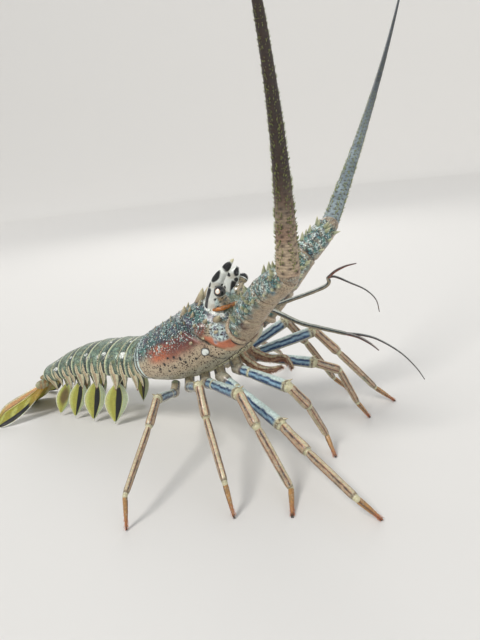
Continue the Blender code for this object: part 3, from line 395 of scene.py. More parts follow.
@dataclass
class Surface:
    """Closed grids of points that become one mesh with its markings as attributes."""

    name: str
    coords: list[Array] = field(default_factory=list)
    tints: list[Array] = field(default_factory=list)
    marks: list[Array] = field(default_factory=list)
    faces: list[Array] = field(default_factory=list)
    total: int = 0

    def add(self, grid: Array, tint: Array, marks: Array | Row = (0, 0, 0)) -> None:
        """Add grids that close around their columns and end in a pole at each end.

        Args:
            grid: coordinates by row and column, or by piece, row and column.
            tint: colour, one for all or by row and column.
            marks: amounts of dark dots, pale specks and dark marbling.
        """
        flat = grid.shape[:-1]
        tint = np.broadcast_to(tint, flat + (3,))
        marks = np.broadcast_to(np.asarray(marks, dtype=float), flat + (3,))
        if grid.ndim == 3:
            grid, tint, marks = grid[None], tint[None], marks[None]
        pieces, rows, columns = grid.shape[:3]

        def with_poles(values: Array) -> Array:
            """Rows of points with the mean of the first and of the last ring after them."""
            ends = values[:, (0, -1)].mean(axis=2)
            return np.concatenate((values.reshape(pieces, -1, 3), ends), axis=1)

        coords = with_poles(grid)
        here = np.arange(rows * columns).reshape(rows, columns)
        after = np.roll(here, -1, axis=1)
        quads = np.stack((here[:-1], after[:-1], after[1:], here[1:]), axis=-1).reshape(-1, 4)
        pole = np.full(columns, rows * columns)
        first = np.stack((after[0], here[0], pole, pole), axis=-1)
        last = np.stack((here[-1], after[-1], pole + 1, pole + 1), axis=-1)
        template = np.concatenate((quads, first, last))
        middle = coords.mean(axis=1, keepdims=True)
        corners = (coords - middle)[:, quads]
        volume = np.einsum("nqi,nqi->n", corners[:, :, 0], np.cross(corners[:, :, 1], corners[:, :, 2]))
        volume += np.einsum("nqi,nqi->n", corners[:, :, 0], np.cross(corners[:, :, 2], corners[:, :, 3]))
        start = self.total + np.arange(pieces)[:, None, None] * coords.shape[1]
        faces = template[None] + start
        flipped = np.concatenate((quads[:, ::-1], first[:, (1, 0, 2, 3)], last[:, (1, 0, 2, 3)]))
        faces = np.where((volume < 0.0)[:, None, None], flipped[None] + start, faces)
        self.coords.append(coords.reshape(-1, 3))
        self.tints.append(with_poles(tint).reshape(-1, 3))
        self.marks.append(with_poles(marks).reshape(-1, 3))
        self.faces.append(faces.reshape(-1, 4))
        self.total += coords.shape[0] * coords.shape[1]

    def add_spikes(self, spines: Spikes, root: Array, tip: Array) -> None:
        """Add curved spines whose colour runs from root to tip."""
        grid = spines.grid()
        fade = np.linspace(0.0, 1.0, spines.rows)[None, :, None] ** 1.4
        self.add(grid, blend(root, tip, np.broadcast_to(fade, grid.shape[:3])))

    def build(self, slot: str, finish: "Finish", *nodes: str) -> bpy.types.Object:
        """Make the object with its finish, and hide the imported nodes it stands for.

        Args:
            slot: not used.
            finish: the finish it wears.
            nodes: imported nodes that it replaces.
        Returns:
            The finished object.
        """
        coords = np.concatenate(self.coords) * MM
        coords[:, 2] = np.maximum(coords[:, 2], 0.0)
        faces = np.concatenate(self.faces)
        three = faces[:, 2] == faces[:, 3]
        sizes = np.where(three, 3, 4)
        keep = np.ones(faces.shape, dtype=bool)
        keep[three, 3] = False
        mesh = bpy.data.meshes.new(self.name)
        mesh.vertices.add(len(coords))
        mesh.vertices.foreach_set("co", coords.astype(np.float32).ravel())
        mesh.loops.add(int(sizes.sum()))
        mesh.loops.foreach_set("vertex_index", faces[keep].astype(np.int32))
        mesh.polygons.add(len(faces))
        starts = np.concatenate(([0], np.cumsum(sizes)[:-1]))
        mesh.polygons.foreach_set("loop_start", starts.astype(np.int32))
        mesh.update(calc_edges=True)
        mesh.validate()
        mesh.shade_smooth()
        for label, values in (("tint", self.tints), ("marks", self.marks)):
            colours = np.ones((len(coords), 4), dtype=np.float32)
            colours[:, :3] = np.concatenate(values)
            layer = mesh.attributes.new(label, "FLOAT_COLOR", "POINT")
            layer.data.foreach_set("color", colours.ravel())
        obj = placed(self.name, mesh)
        mesh.materials.append(finish.material())
        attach(obj, BODY)
        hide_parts(*nodes)
        log.info("%s: %d points for %s", self.name, len(coords), ", ".join(nodes))
        return obj


class Wiring:
    """Places nodes in one tree and joins them by socket."""

    def __init__(self, tree: bpy.types.NodeTree) -> None:
        """Keep the tree that the nodes go in."""
        self.tree = tree

    def node(self, kind: str, sockets: dict[Any, Any] | None = None, **settings: Any) -> bpy.types.Node:
        """Add a node.

        Args:
            kind: the node's type name.
            sockets: inputs by name or index, each a number, a colour or another socket.
            settings: the node's own properties.
        Returns:
            The new node.
        """
        made = self.tree.nodes.new(kind)
        for label, value in settings.items():
            setattr(made, label, value)
        for label, value in (sockets or {}).items():
            if isinstance(value, bpy.types.NodeSocket):
                self.tree.links.new(value, made.inputs[label])
            else:
                made.inputs[label].default_value = value
        return made

    def calc(self, operation: str, *values: Any) -> bpy.types.NodeSocket:
        """A Math node's result, kept between zero and one for MULTIPLY_ADD."""
        made = self.node("ShaderNodeMath", dict(enumerate(values)), operation=operation,
                         use_clamp=operation == "MULTIPLY_ADD")
        return made.outputs[0]

    def mix(self, factor: Any, first: Any, second: Any, blend_type: str = "MIX") -> bpy.types.NodeSocket:
        """A colour mix of two colours by a factor."""
        made = self.node("ShaderNodeMix", {0: factor, 6: first, 7: second},
                         data_type="RGBA", blend_type=blend_type)
        return made.outputs[2]


def rgba(colour: Array) -> tuple[float, float, float, float]:
    """A linear colour with full opacity."""
    return float(colour[0]), float(colour[1]), float(colour[2]), 1.0


class Group(Wiring):
    """A shader group while it is built: its named inputs, formulas and results."""

    def __init__(self, name: str, inputs: dict[str, float | None], outputs: Sequence[str]) -> None:
        """Make the group and its sockets.

        Args:
            name: the group's name.
            inputs: default values by socket name.
            outputs: names of the results.
        """
        super().__init__(bpy.data.node_groups.new(name, "ShaderNodeTree"))
        sockets = [(label, "INPUT", value) for label, value in inputs.items()]
        sockets += [(label, "OUTPUT", None) for label in outputs]
        for label, way, value in sockets:
            kind = SOCKET_KINDS.get(label, NUMBER_SOCKET)
            made = self.tree.interface.new_socket(label, in_out=way, socket_type=kind)
            if value is not None:
                made.default_value = value
        self.inputs = self.node("NodeGroupInput").outputs
        self.results = self.node("NodeGroupOutput").inputs

    def noise(self, scale: Any, detail: float, roughness: float = 0.5,
              distortion: float = 0.0) -> bpy.types.Node:
        """Add noise over the group's place."""
        return self.node("ShaderNodeTexNoise", {
            "Vector": self.inputs["Vector"], "Scale": scale, "Detail": detail,
            "Roughness": roughness, "Distortion": distortion})

    def mask(self, inside: bpy.types.NodeSocket, gain: float) -> bpy.types.NodeSocket:
        """A distance inside an edge, steepened by the gain, times the amount."""
        sharp = self.calc("MULTIPLY_ADD", inside, gain, 0.5)
        return self.calc("MULTIPLY", sharp, self.inputs["Amount"])

    def finish(self, **results: bpy.types.NodeSocket) -> bpy.types.NodeTree:
        """Connect the results and give the group."""
        for label, result in results.items():
            self.tree.links.new(result, self.results[label])
        return self.tree


class Effects:
    """Shader groups that the finishes share, each built once."""

    made: dict[str, bpy.types.NodeTree] = {}

    @classmethod
    def get(cls, name: str) -> bpy.types.NodeTree:
        """A group by name, built the first time that it is asked for."""
        if name not in cls.made:
            cls.made[name] = getattr(cls, name)()
        return cls.made[name]

    @staticmethod
    def dots() -> bpy.types.NodeTree:
        """Round dots, one in each cell: the cell's random size less the distance to its
        middle, as a mask. The place is first bent a little by noise."""
        group = Group("dots", {"Vector": None, "Scale": 600.0, "Size": 0.3, "Amount": 1.0},
                      ("Mask", "Tone"))
        bent = group.noise(DOT_BEND_SCALE, 2.0)
        shift = group.node("ShaderNodeVectorMath",
                           {0: bent.outputs["Color"], 1: (DOT_BEND, DOT_BEND, DOT_BEND)},
                           operation="MULTIPLY")
        place = group.node("ShaderNodeVectorMath",
                           {0: group.inputs["Vector"], 1: shift.outputs[0]}, operation="ADD")
        cell = group.node("ShaderNodeTexVoronoi", {
            "Vector": place.outputs[0],
            "Scale": group.inputs["Scale"]})
        parts = group.node("ShaderNodeSeparateColor", {0: cell.outputs["Color"]})
        reach = group.calc("MULTIPLY", group.inputs["Size"], parts.outputs[0])
        inside = group.calc("SUBTRACT", reach, cell.outputs["Distance"])
        return group.finish(Mask=group.mask(inside, DOT_GAIN), Tone=parts.outputs[1])

    @staticmethod
    def marbling() -> bpy.types.NodeTree:
        """Branching dark veins: the width less noise folded at its middle, as a mask."""
        group = Group("marbling", {"Vector": None, "Scale": 300.0, "Width": 0.05,
                                   "Amount": 1.0}, ("Mask",))
        noise = group.noise(group.inputs["Scale"], 4.0, 0.6, 0.8)
        away = group.calc("ABSOLUTE", group.calc("SUBTRACT", noise.outputs[0], 0.5))
        inside = group.calc("SUBTRACT", group.inputs["Width"], away)
        return group.finish(Mask=group.mask(inside, VEIN_GAIN))

    @staticmethod
    def mottle() -> bpy.types.NodeTree:
        """Uneven pigment: the colour times one plus noise about its middle."""
        group = Group("mottle", {"Vector": None, "Color": None, "Scale": 120.0,
                                 "Strength": 0.5}, ("Color",))
        noise = group.noise(group.inputs["Scale"], 6.0, 0.65)
        middle = group.calc("SUBTRACT", noise.outputs[0], 0.5)
        gain = group.calc("ADD", group.calc("MULTIPLY", middle, group.inputs["Strength"]), 1.0)
        grey = group.node("ShaderNodeCombineColor", {0: gain, 1: gain, 2: gain})
        return group.finish(Color=group.mix(1.0, group.inputs["Color"], grey.outputs[0], "MULTIPLY"))

    @staticmethod
    def grain() -> bpy.types.NodeTree:
        """Height of fine granules and pores: cell distance and noise, each by its weight."""
        group = Group("grain", {"Vector": None, "Scale": 700.0, "Granules": 0.5, "Pores": 0.5},
                      ("Height",))
        cell = group.node("ShaderNodeTexVoronoi", {
            "Vector": group.inputs["Vector"], "Scale": group.inputs["Scale"],
            "Smoothness": 0.4}, feature="SMOOTH_F1")
        noise = group.noise(PORE_SCALE, 3.0)
        low = group.calc("MULTIPLY", cell.outputs["Distance"], group.inputs["Granules"])
        fine = group.calc("MULTIPLY", noise.outputs[0], group.inputs["Pores"])
        return group.finish(Height=group.calc("SUBTRACT", fine, low))


@dataclass(frozen=True)
class Finish:
    """One shell finish: painted zones under dots, specks, marbling, pigment and grain.

    Args:
        name: the material's name.
        roughness: roughness of the surface.
        coat: weight of the wet-looking coat.
        dot: colour of the dark dots.
        dot_scale: dot cells in a metre.
        dot_size: widest dot as a share of its cell.
        speck: colour of the pale specks.
        second: colour of every other speck.
        speck_scale: speck cells in a metre.
        speck_size: widest speck as a share of its cell.
        vein: colour of the marbling.
        vein_scale: size of the marbling, in waves a metre.
        mottle: strength of the uneven pigment.
        mottle_scale: size of the uneven pigment.
        grain_scale: granules in a metre.
        granules: weight of the granules in the relief.
        relief: depth of the relief in metres.
        subsurface: weight of light scattered under the surface.
    """

    name: str
    roughness: float = 0.42
    coat: float = 0.25
    dot: tuple = tuple(Tone.EARTH * 0.4)
    dot_scale: float = 780.0
    dot_size: float = 0.58
    speck: tuple = tuple(Tone.MIST)
    second: tuple = tuple(Tone.TEAL)
    speck_scale: float = 800.0
    speck_size: float = 0.7
    vein: tuple = tuple(Tone.INK)
    vein_scale: float = 260.0
    mottle: float = 0.7
    mottle_scale: float = 160.0
    grain_scale: float = 800.0
    granules: float = 0.6
    relief: float = 0.0004
    subsurface: float = 0.0

    def material(self) -> bpy.types.Material:
        """The finish's material, made once."""
        known = bpy.data.materials.get(self.name)
        if known is not None:
            return known
        made = bpy.data.materials.new(self.name)
        made.use_nodes = True
        wiring = Wiring(made.node_tree)
        surface = made.node_tree.nodes["Principled BSDF"]
        place = wiring.node("ShaderNodeTexCoord").outputs["Object"]
        tint = wiring.node("ShaderNodeAttribute", attribute_name="tint").outputs["Color"]
        paint = wiring.node("ShaderNodeAttribute", attribute_name="marks").outputs["Color"]
        marks = wiring.node("ShaderNodeSeparateColor", {0: paint})

        def effect(label: str, **sockets: Any) -> bpy.types.Node:
            """Place a shared group in this material."""
            named = {name.title(): value for name, value in sockets.items()}
            return wiring.node("ShaderNodeGroup", {"Vector": place, **named},
                               node_tree=Effects.get(label))

        colour = effect("mottle", color=tint, scale=self.mottle_scale,
                        strength=self.mottle).outputs["Color"]
        veins = effect("marbling", scale=self.vein_scale, amount=marks.outputs[2])
        colour = wiring.mix(veins.outputs["Mask"], colour, rgba(self.vein))
        specks = effect("dots", scale=self.speck_scale, size=self.speck_size, amount=marks.outputs[1])
        pick = wiring.calc("GREATER_THAN", specks.outputs["Tone"], 0.55)
        light = wiring.mix(pick, rgba(self.speck), rgba(self.second))
        colour = wiring.mix(specks.outputs["Mask"], colour, light)
        dots = effect("dots", scale=self.dot_scale, size=self.dot_size, amount=marks.outputs[0])
        colour = wiring.mix(dots.outputs["Mask"], colour, rgba(self.dot))
        wiring.tree.links.new(colour, surface.inputs["Base Color"])
        grain = effect("grain", scale=self.grain_scale, granules=self.granules)
        rough = wiring.node("ShaderNodeMapRange", {
            "Value": grain.outputs["Height"], "From Min": -0.3, "From Max": 0.3,
            "To Min": self.roughness - 0.1, "To Max": self.roughness + 0.1})
        wiring.tree.links.new(rough.outputs[0], surface.inputs["Roughness"])
        bump = wiring.node("ShaderNodeBump", {
            "Height": grain.outputs["Height"], "Distance": self.relief, "Strength": 0.7})
        wiring.tree.links.new(bump.outputs[0], surface.inputs["Normal"])
        for label, value in (("Coat Weight", self.coat), ("Coat Roughness", 0.12),
                             ("Subsurface Weight", self.subsurface),
                             ("Subsurface Scale", 0.002)):
            surface.inputs[label].default_value = value
        return made


SHELL = Finish("lobster_shell", roughness=0.4, coat=0.3)
HORN = Finish("lobster_horn", roughness=0.32, coat=0.4, mottle=0.25, granules=0.3, relief=0.0002)
EYE = Finish("lobster_eye", roughness=0.12, coat=1.0, mottle=0.15, granules=0.5,
             grain_scale=2600.0, relief=0.00005)
PEDUNCLE = Finish("lobster_antenna_base", roughness=0.42, vein_scale=340.0)
LASH = Finish("lobster_lash", roughness=0.5, coat=0.15, mottle=0.8, mottle_scale=220.0)
LIMB = Finish("lobster_leg", roughness=0.36, coat=0.35, mottle=0.5, granules=0.3, relief=0.0002)
TAIL = Finish("lobster_tail", roughness=0.36, coat=0.35, speck=tuple(Tone.SAGE),
              speck_scale=1100.0, dot=tuple(Tone.INK), dot_scale=900.0, granules=0.35,
              relief=0.00025)
LEAF = Finish("lobster_leaf", roughness=0.45, coat=0.2, mottle=0.5, granules=0.2,
              relief=0.0002, subsurface=0.1)
MOUTH = Finish("lobster_mouthparts", roughness=0.55, coat=0.1)


@dataclass(frozen=True)
class Stance:
    """How the body stands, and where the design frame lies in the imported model's frame.

    Args:
        shift: level move from the design frame to the model's frame.
        pitch: tilt of the carapace, head up.
        height: height of the carapace's middle over the floor.
        middle: the carapace's middle along its own length.
    """

    shift: tuple[float, float]
    pitch: float = 22.7
    height: float = 78.8
    middle: float = 50.0

    def level(self, points: Array) -> Array:
        """Design places in the model's frame."""
        return np.asarray(points, dtype=float) + (self.shift[0], self.shift[1], 0.0)

    def place(self, local: Array) -> Array:
        """Body-frame places in the model's frame: turned by the pitch and raised."""
        local = np.asarray(local, dtype=float)
        cosine = math.cos(math.radians(self.pitch))
        sine = math.sin(math.radians(self.pitch))
        ahead = local[..., 0] - self.middle
        return self.level(np.stack((ahead * cosine - local[..., 2] * sine, local[..., 1],
                                    ahead * sine + local[..., 2] * cosine + self.height),
                                   axis=-1))


def find_stance(fan: "TailFan") -> Stance:
    """The stance, with its shift read from the telson's box: its middle lies on the
    midline, and its far end is the telson's reach behind the fan's root."""
    low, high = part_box("telson")
    end = fan.root_x - fan.reach(fan.telson)
    return Stance((low[0] / MM - end, (low[1] + high[1]) / 2.0 / MM))


def fold(angle: Array) -> Array:
    """Angle from the top on either side: 0 at the top and 180 underneath."""
    return 180.0 - np.abs(np.mod(angle, 360.0) - 180.0)


def leaf(centre: Array, across: Array, half_width: Array, half_thickness: Array,
         columns: int, relief: Callable[[Array, Array], Array] | None = None
         ) -> tuple[Array, Array, Array]:
    """A thin blade: centre + across w cos t + normal (h sin t + relief on the upper face).

    Args:
        centre: row centres.
        across: unit direction across the rows.
        half_width: w of each row.
        half_thickness: h of each row.
        columns: points in each ring.
        relief: height from the share along and the lane across, from -1 to 1.
    Returns:
        The grid, the share along and the lane.
    """
    turns = np.radians(around(columns))
    along = unit(np.gradient(centre, axis=0))
    normal = unit(np.cross(across, along))
    share, lane = np.meshgrid(np.linspace(0.0, 1.0, len(centre)), np.cos(turns), indexing="ij")
    lift = np.asarray(half_thickness)[:, None] * np.sin(turns)[None, :]
    if relief is not None:
        lift = lift + relief(share, lane) * np.sign(np.sin(turns))[None, :]
    grid = (centre[:, None] + across * (np.asarray(half_width)[:, None] * lane)[..., None]
            + normal[:, None] * lift[..., None])
    return grid, share, lane


def ball(centre: Array, along: Array, across: Array, above: Array, rows: int, columns: int) -> Array:
    """A ball or egg: centre + along cos s + (across cos t + above sin t) sin s.

    Args:
        centre: its middle.
        along: half its length, from pole to pole.
        across: one half width.
        above: the other half width.
        rows: rings from pole to pole.
        columns: points in each ring.
    Returns:
        The grid.
    """
    slope = np.radians(np.linspace(3.0, 177.0, rows))[:, None, None]
    turns = np.radians(around(columns))[:, None]
    ring = across * np.cos(turns) + above * np.sin(turns)
    return centre + along * np.cos(slope) + ring * np.sin(slope)


@dataclass
class Carapace:
    """The carapace: egg-shaped rings in the body frame with grooves, bosses and spines."""

    stance: Stance
    rows: int = 210
    columns: int = 330
    rear: float = -3.0
    front: float = 104.0
    notch: float = 5.0
    notch_fade: float = 30.0
    level: float = 0.46
    side_bulge: float = 0.92
    belly_bulge: float = 0.72
    groove_top: float = 50.0
    groove_sweep: float = 24.0
    groove_depth: float = 1.5
    groove_width: float = 2.6
    rim_x: float = 7.0
    rim_share: float = 0.5
    lean: float = 38.0
    sink: float = 1.4
    stations: Knots = (
        (-3.0, 21.5, -15.0, 26.5), (6.0, 23.5, -19.0, 29.5), (20.0, 24.5, -24.0, 31.5),
        (42.0, 26.5, -28.0, 33.0), (60.0, 28.5, -28.5, 33.0), (76.0, 28.5, -26.5, 31.5),
        (88.0, 25.5, -23.5, 28.0), (95.0, 20.5, -21.0, 23.5), (100.0, 13.5, -18.5, 18.0),
        (104.0, 5.0, -14.5, 12.0))
    great: Knots = ((70.0, 9.0, 12.0, 4.2), (57.5, 27.0, 8.5, 3.0), (87.0, 64.0, 8.0, 3.0))
    spine_rows: Knots = ((9.0, 16.0, 80.0, 7), (26.0, 12.0, 82.0, 8), (44.0, 16.0, 90.0, 8),
                         (62.0, 22.0, 90.0, 7), (82.0, 62.0, 84.0, 3))
    bosses: Knots = ((74.0, 70.0, 6.0, 1.8), (87.0, 84.0, 7.0, 2.0), (92.0, 96.0, 3.6, 1.0))
    marks: Knots = ((30.0, 92.0), (36.0, 86.0), (42.0, 88.0), (47.0, 92.0), (38.0, 100.0),
                    (31.0, 104.0), (50.0, 98.0), (60.0, 100.0), (24.0, 96.0))
    bar: Knots = ((86.5, 46.0, 0.4), (90.0, 48.0, 2.2), (94.5, 47.0, 3.6), (98.0, 38.0, 4.2),
                  (101.0, 20.0, 3.2), (103.0, 4.0, 1.5))
    bar_radius: float = 1.7
    bar_rows: int = 60
    granules: int = 900
    window: int = 8
    girth: float = 29.0
    smooth_below: float = 84.0
    smooth_share: float = 0.35
    small_spines: int = 420
    eyespot: Row = (70.0, 98.0)
    eyespot_radii: Knots = ((4.4, 6.6), (3.3, 4.9))
    sweep_x: Row = (76.0, 80.0, 84.0, 92.0)
    sweep_angle: Row = (12.0, 34.0, 44.0, 55.0)

    def point(self, x: Array, angle: Array, out: Array | float = 0.0) -> Array:
        """Body-frame point: y = w sgn|sin a|^b and z = level + h sgn|cos a|^c, moved out
        by out less the grooves exp(-(distance / width)^2)."""
        x, angle = np.broadcast_arrays(np.asarray(x, float), np.asarray(angle, float))
        table = read_table(self.stations, x.ravel()).reshape(x.shape + (3,))
        top, bottom, width = table[..., 0], table[..., 1], table[..., 2]
        side = np.sin(np.radians(angle))
        rise = np.cos(np.radians(angle))
        level = bottom + self.level * (top - bottom)
        y = width * np.sign(side) * np.abs(side) ** self.side_bulge
        height = np.where(rise >= 0.0, top - level, level - bottom)
        power = np.where(rise >= 0.0, 1.0, self.belly_bulge)
        z = level + height * np.sign(rise) * np.abs(rise) ** power
        hollow = self.groove_top + self.groove_sweep * (1.0 - rise) - x
        depth = self.groove_depth * np.exp(-(hollow / self.groove_width) ** 2)
        depth = depth + self.rim_share * self.groove_depth * np.exp(
            -((x - self.rim_x) / self.groove_width) ** 2)
        depth = np.where(rise < -0.35, 0.0, depth)
        away = unit(np.stack((np.zeros_like(y), y, z - level), axis=-1))
        fade = np.maximum(0.0, 1.0 - (x - self.rear) / self.notch_fade)
        shift = self.notch * np.maximum(0.0, rise) * fade
        return np.stack((x + shift, y, z), axis=-1) + away * (out - depth)[..., None]

    def normal(self, x: Array, angle: Array) -> Array:
        """Unit direction away from the surface: ahead x aside, in the model's frame."""
        here = self.stance.place(self.point(x, angle))
        ahead = self.stance.place(self.point(x + 0.5, angle)) - here
        aside = self.stance.place(self.point(x, angle + 1.0)) - here
        return unit(np.cross(ahead, aside))

    def seam(self, x: Array, low: Array) -> Array:
        """Signed distance ahead of the cervical groove."""
        return x - self.groove_top - self.groove_sweep * (1.0 - np.cos(np.radians(low)))

    def relief(self, x: Array, angle: Array) -> Array:
        """Height over the plain shell: groove line, rims, bosses, cheek and granules."""
        low = fold(angle)
        seam = self.seam(x, low)
        upper = 1.0 - step(low, 96.0, 108.0)
        height = -0.7 * np.exp(-(seam / 0.9) ** 2) * upper
        height += 0.5 * np.exp(-((np.abs(seam) - 4.0) / 1.6) ** 2) * upper
        height += 0.55 * np.exp(-((x + 0.6) / 1.3) ** 2)
        height -= 0.4 * np.exp(-((x - 2.4) / 0.7) ** 2)
        for place, turn, radius, rise in self.bosses:
            away = np.hypot(x - place, np.radians(low - turn) * 28.0) / radius
            height += rise * np.exp(-away ** 3)
        height += 1.3 * spot(x, low, (85.0, 118.0), (14.0, 24.0), 0.7)
        height += 0.5 * spot(x, low, self.eyespot, (4.2, 6.5), 0.5)
        edge = band(low, 142.0 + 0.06 * (x - 40.0), 1.2, 2.4)
        height -= 1.1 * edge
        for turn, depth in ((64.0, 0.3), (20.0, 0.25)):
            height -= depth * band(low, turn, 1.0, 4.0) * band(x, 28.0, 14.0, 8.0)
        grains = np.random.default_rng(SEED)
        count = self.granules
        spacing = (self.front - self.rear) / (self.rows - 1)
        for place, turn, radius, rise in zip(
                grains.uniform(2.0, 98.0, count), grains.uniform(0.0, 360.0, count),
                grains.uniform(0.5, 1.5, count), grains.uniform(0.15, 0.55, count)):
            if fold(np.array(turn)) > self.smooth_below:
                rise *= self.smooth_share
            row = int((place - self.rear) / spacing)
            column = int(turn / 360.0 * self.columns)
            rows = slice(max(0, row - self.window), row + self.window + 1)
            columns = np.arange(column - self.window, column + self.window + 1) % self.columns
            ahead = x[rows][:, columns] - place
            beside = np.mod(angle[rows][:, columns] - turn + 180.0, 360.0) - 180.0
            away = np.hypot(ahead, np.radians(beside) * self.girth) / radius
            height[rows, columns] += rise * np.exp(-away ** 2)
        return height

    def paint(self, x: Array, angle: Array) -> tuple[Array, Array]:
        """Zones of colour over the shell, and amounts of dots, specks and marbling."""
        low = fold(angle)
        wave, fine, flecks = (ripple(x, angle * 0.5, pitch, seed)
                              for pitch, seed in ((22.0, 3), (7.0, 4), (2.2, 12)))
        seam = self.seam(x, low)
        lower = step(low + 6.0 * wave, 66.0, 82.0)
        rust = band(low + 5.0 * wave, 75.0, 7.0, 14.0) * (1.0 - step(seam, -3.0, 0.0))
        rust = rust * step(x, 10.0, 26.0)
        ahead = step(seam, 0.0, 2.0)
        cheek = ahead * step(low, 88.0, 100.0)
        coral = ahead * band(low + 3.0 * fine - 1.1 * (x - 79.0), 93.0, 5.0, 8.0)
        white_boss = spot(x + 2.0 * fine, low + 6.0 * wave, (87.0, 84.0), (7.6, 16.0), 0.35)
        brown_boss = spot(x + fine, low, (74.0, 70.0), (6.5, 13.0), 0.5)
        sweep = band(low, np.interp(x, self.sweep_x, self.sweep_angle), 5.0, 4.0)
        ring, eyespot = (spot(x, low, self.eyespot, radii, 0.2) for radii in self.eyespot_radii)
        crease = np.exp(-((low - 104.0 - (x - 71.0) * 3.4) / 3.0) ** 2)
        marks = [(Tone.BLACK, spot(x, low, (place, turn), (1.5, 2.6), 0.4)) for place, turn in self.marks]
        margin = np.maximum(band(x, -1.8, 0.9, 0.6), band(x, 2.0, 0.7, 0.6))
        tint = layered(
            x.shape, Tone.SLATE * 0.55,
            (Tone.INK, step(fine + 0.4 * wave, -0.1, 0.35)),
            (Tone.TEAL * 0.8, 0.6 * step(wave - fine, 0.1, 0.5)),
            (Tone.PLUM, 0.7 * step(fine - wave, 0.1, 0.5)),
            (Tone.VIOLET * 0.7, 0.5 * step(-fine - wave, 0.3, 0.7)),
            (Tone.FLANK, lower),
            (blend(Tone.RUST, Tone.BLOOD, step(x, 28.0, 52.0)), 0.92 * rust),
            (Tone.PINK, 0.25 * band(low, 100.0, 8.0, 16.0) * (seam < 0.0)),
            (Tone.TAN * 1.1, cheek),
            (Tone.PINK * 1.1, 0.5 * cheek * (1.0 - step(low, 112.0, 136.0))),
            (Tone.RUST * 1.1, 0.8 * coral),
            (Tone.SAND, 0.7 * ahead * band(low + 4.0 * fine, 74.0, 4.0, 8.0)),
            (Tone.MIST * 0.9, white_boss),
            (Tone.VIOLET, 0.6 * white_boss * step(fine, 0.1, 0.4)),
            (Tone.VIOLET * 0.35, 0.9 * white_boss * step(flecks, 0.05, 0.3)),
            (Tone.WHITE, sweep * band(x, 84.5, 8.0, 2.0)),
            (Tone.BRICK, brown_boss),
            (Tone.BLACK, ring),
            (Tone.WHITE, eyespot),
            (Tone.BLACK, 0.9 * np.exp(-(seam / 1.2) ** 2) * (low < 92.0)),
            (Tone.INK, 0.8 * crease * band(x, 77.0, 6.0, 1.5)),
            *marks,
            (Tone.MIST, 0.9 * margin),
            Stripe(Tone.BLACK, 0.2, 0.4, 0.6, 0.8).layer(x),
            (Tone.CREAM, band(low, 146.0, 3.0, 3.0) * step(x, 10.0, 20.0)),
            (Tone.INK, band(low, 139.0, 0.8, 1.5) * step(x, 60.0, 70.0)),
            Edge(Tone.CREAM * 0.8, 152.0, 160.0).layer(low),
            (Tone.SAGE * 0.8, step(x, 92.0, 96.0) * (1.0 - step(low, 40.0, 60.0))))
        plain = 1.0 - ring
        dots = np.clip(0.1 + lower * (1.0 - cheek) + 0.8 * white_boss, 0.0, 1.0)
        dots = dots * (1.0 - 0.9 * rust) * (1.0 - coral) * plain
        specks = (1.0 - lower) * np.clip(0.6 + 0.9 * fine, 0.0, 1.0) * (1.0 - white_boss)
        specks = np.maximum(specks, 0.5 * rust * (1.0 - step(low, 70.0, 84.0)))
        veins = (1.0 - lower) * 0.5 + 0.25 * rust + 0.12 * lower + 0.2 * brown_boss
        veins = np.clip(veins, 0.0, 1.0) * plain
        return tint, np.stack((dots, specks * plain, veins), axis=-1)

    def spine_places(self) -> list[tuple[float, float, float, float]]:
        """Great spines, then the seeded rows, as x, angle, length and radius."""
        draw = random.Random(SEED)
        places = []
        for side in (Side.RIGHT.value, Side.LEFT.value):
            places.extend((x, side * angle, length, radius) for x, angle, length, radius in self.great)
            for angle, first, last, count in self.spine_rows:
                for index in range(count):
                    x = first + (last - first) * index / (count - 1) + draw.uniform(-1.6, 1.6)
                    turn = angle + draw.uniform(-3.0, 3.0)
                    length = (2.4 + 5.6 * (x / last) ** 2) * draw.uniform(0.85, 1.1)
                    if self.is_free(x, turn):
                        places.append((x, side * turn, length, max(0.9, length * 0.30)))
        return places

    def is_free(self, x: float, angle: float) -> bool:
        """Whether a row spine clears the horn, the eye stalk and the great spines."""
        if x > 76.0 and 14.0 < angle < 58.0:
            return False
        return all(math.hypot(x - place, math.radians(angle - turn) * 33.0) >= 5.0
                   for place, turn, _, _ in self.great)

    def add_spines(self, surface: Surface, places: Array, root: Array, tip: Array,
                   rows: int, columns: int) -> None:
        """Add forward-leaning spines that stand on the shell."""
        x, angle, length, radius = places.T
        normal = self.normal(x, angle)
        pitch = math.radians(self.stance.pitch)
        forward = np.array((math.cos(pitch), 0.0, math.sin(pitch)))
        lean = math.radians(self.lean)
        ahead = unit(normal * math.cos(lean) + forward * math.sin(lean))
        base = self.stance.place(self.point(x, angle, -self.sink))
        bend = (forward - normal) * (length * 0.06)[:, None]
        surface.add_spikes(Spikes(base, ahead, length + self.sink - 0.2, radius * 1.05, bend,
                                  rows, columns), root, tip)

    def build(self) -> None:
        """Make the shell with its spines."""
        x, angle = np.meshgrid(np.linspace(self.rear, self.front, self.rows),
                               around(self.columns), indexing="ij")
        surface = Surface("carapace")
        tint, marks = self.paint(x, angle)
        grid = self.stance.place(self.point(x, angle, self.relief(x, angle)))
        surface.add(grid, tint, marks)
        self.add_spines(surface, np.array(self.spine_places()), Tone.TAN * 0.7, Tone.CREAM, 9, 12)
        draw = np.random.default_rng(SEED)
        count = self.small_spines
        places = np.stack((draw.uniform(4.0, 92.0, count), draw.uniform(-84.0, 84.0, count),
                           draw.uniform(0.7, 2.2, count), draw.uniform(0.35, 0.8, count)),
                          axis=1)
        self.add_spines(surface, places, Tone.TEAL * 0.7, Tone.CREAM, 5, 6)
        for side in Side:
            self.add_bar(surface, side)
        surface.build("carapace", SHELL, "cephalothorax")

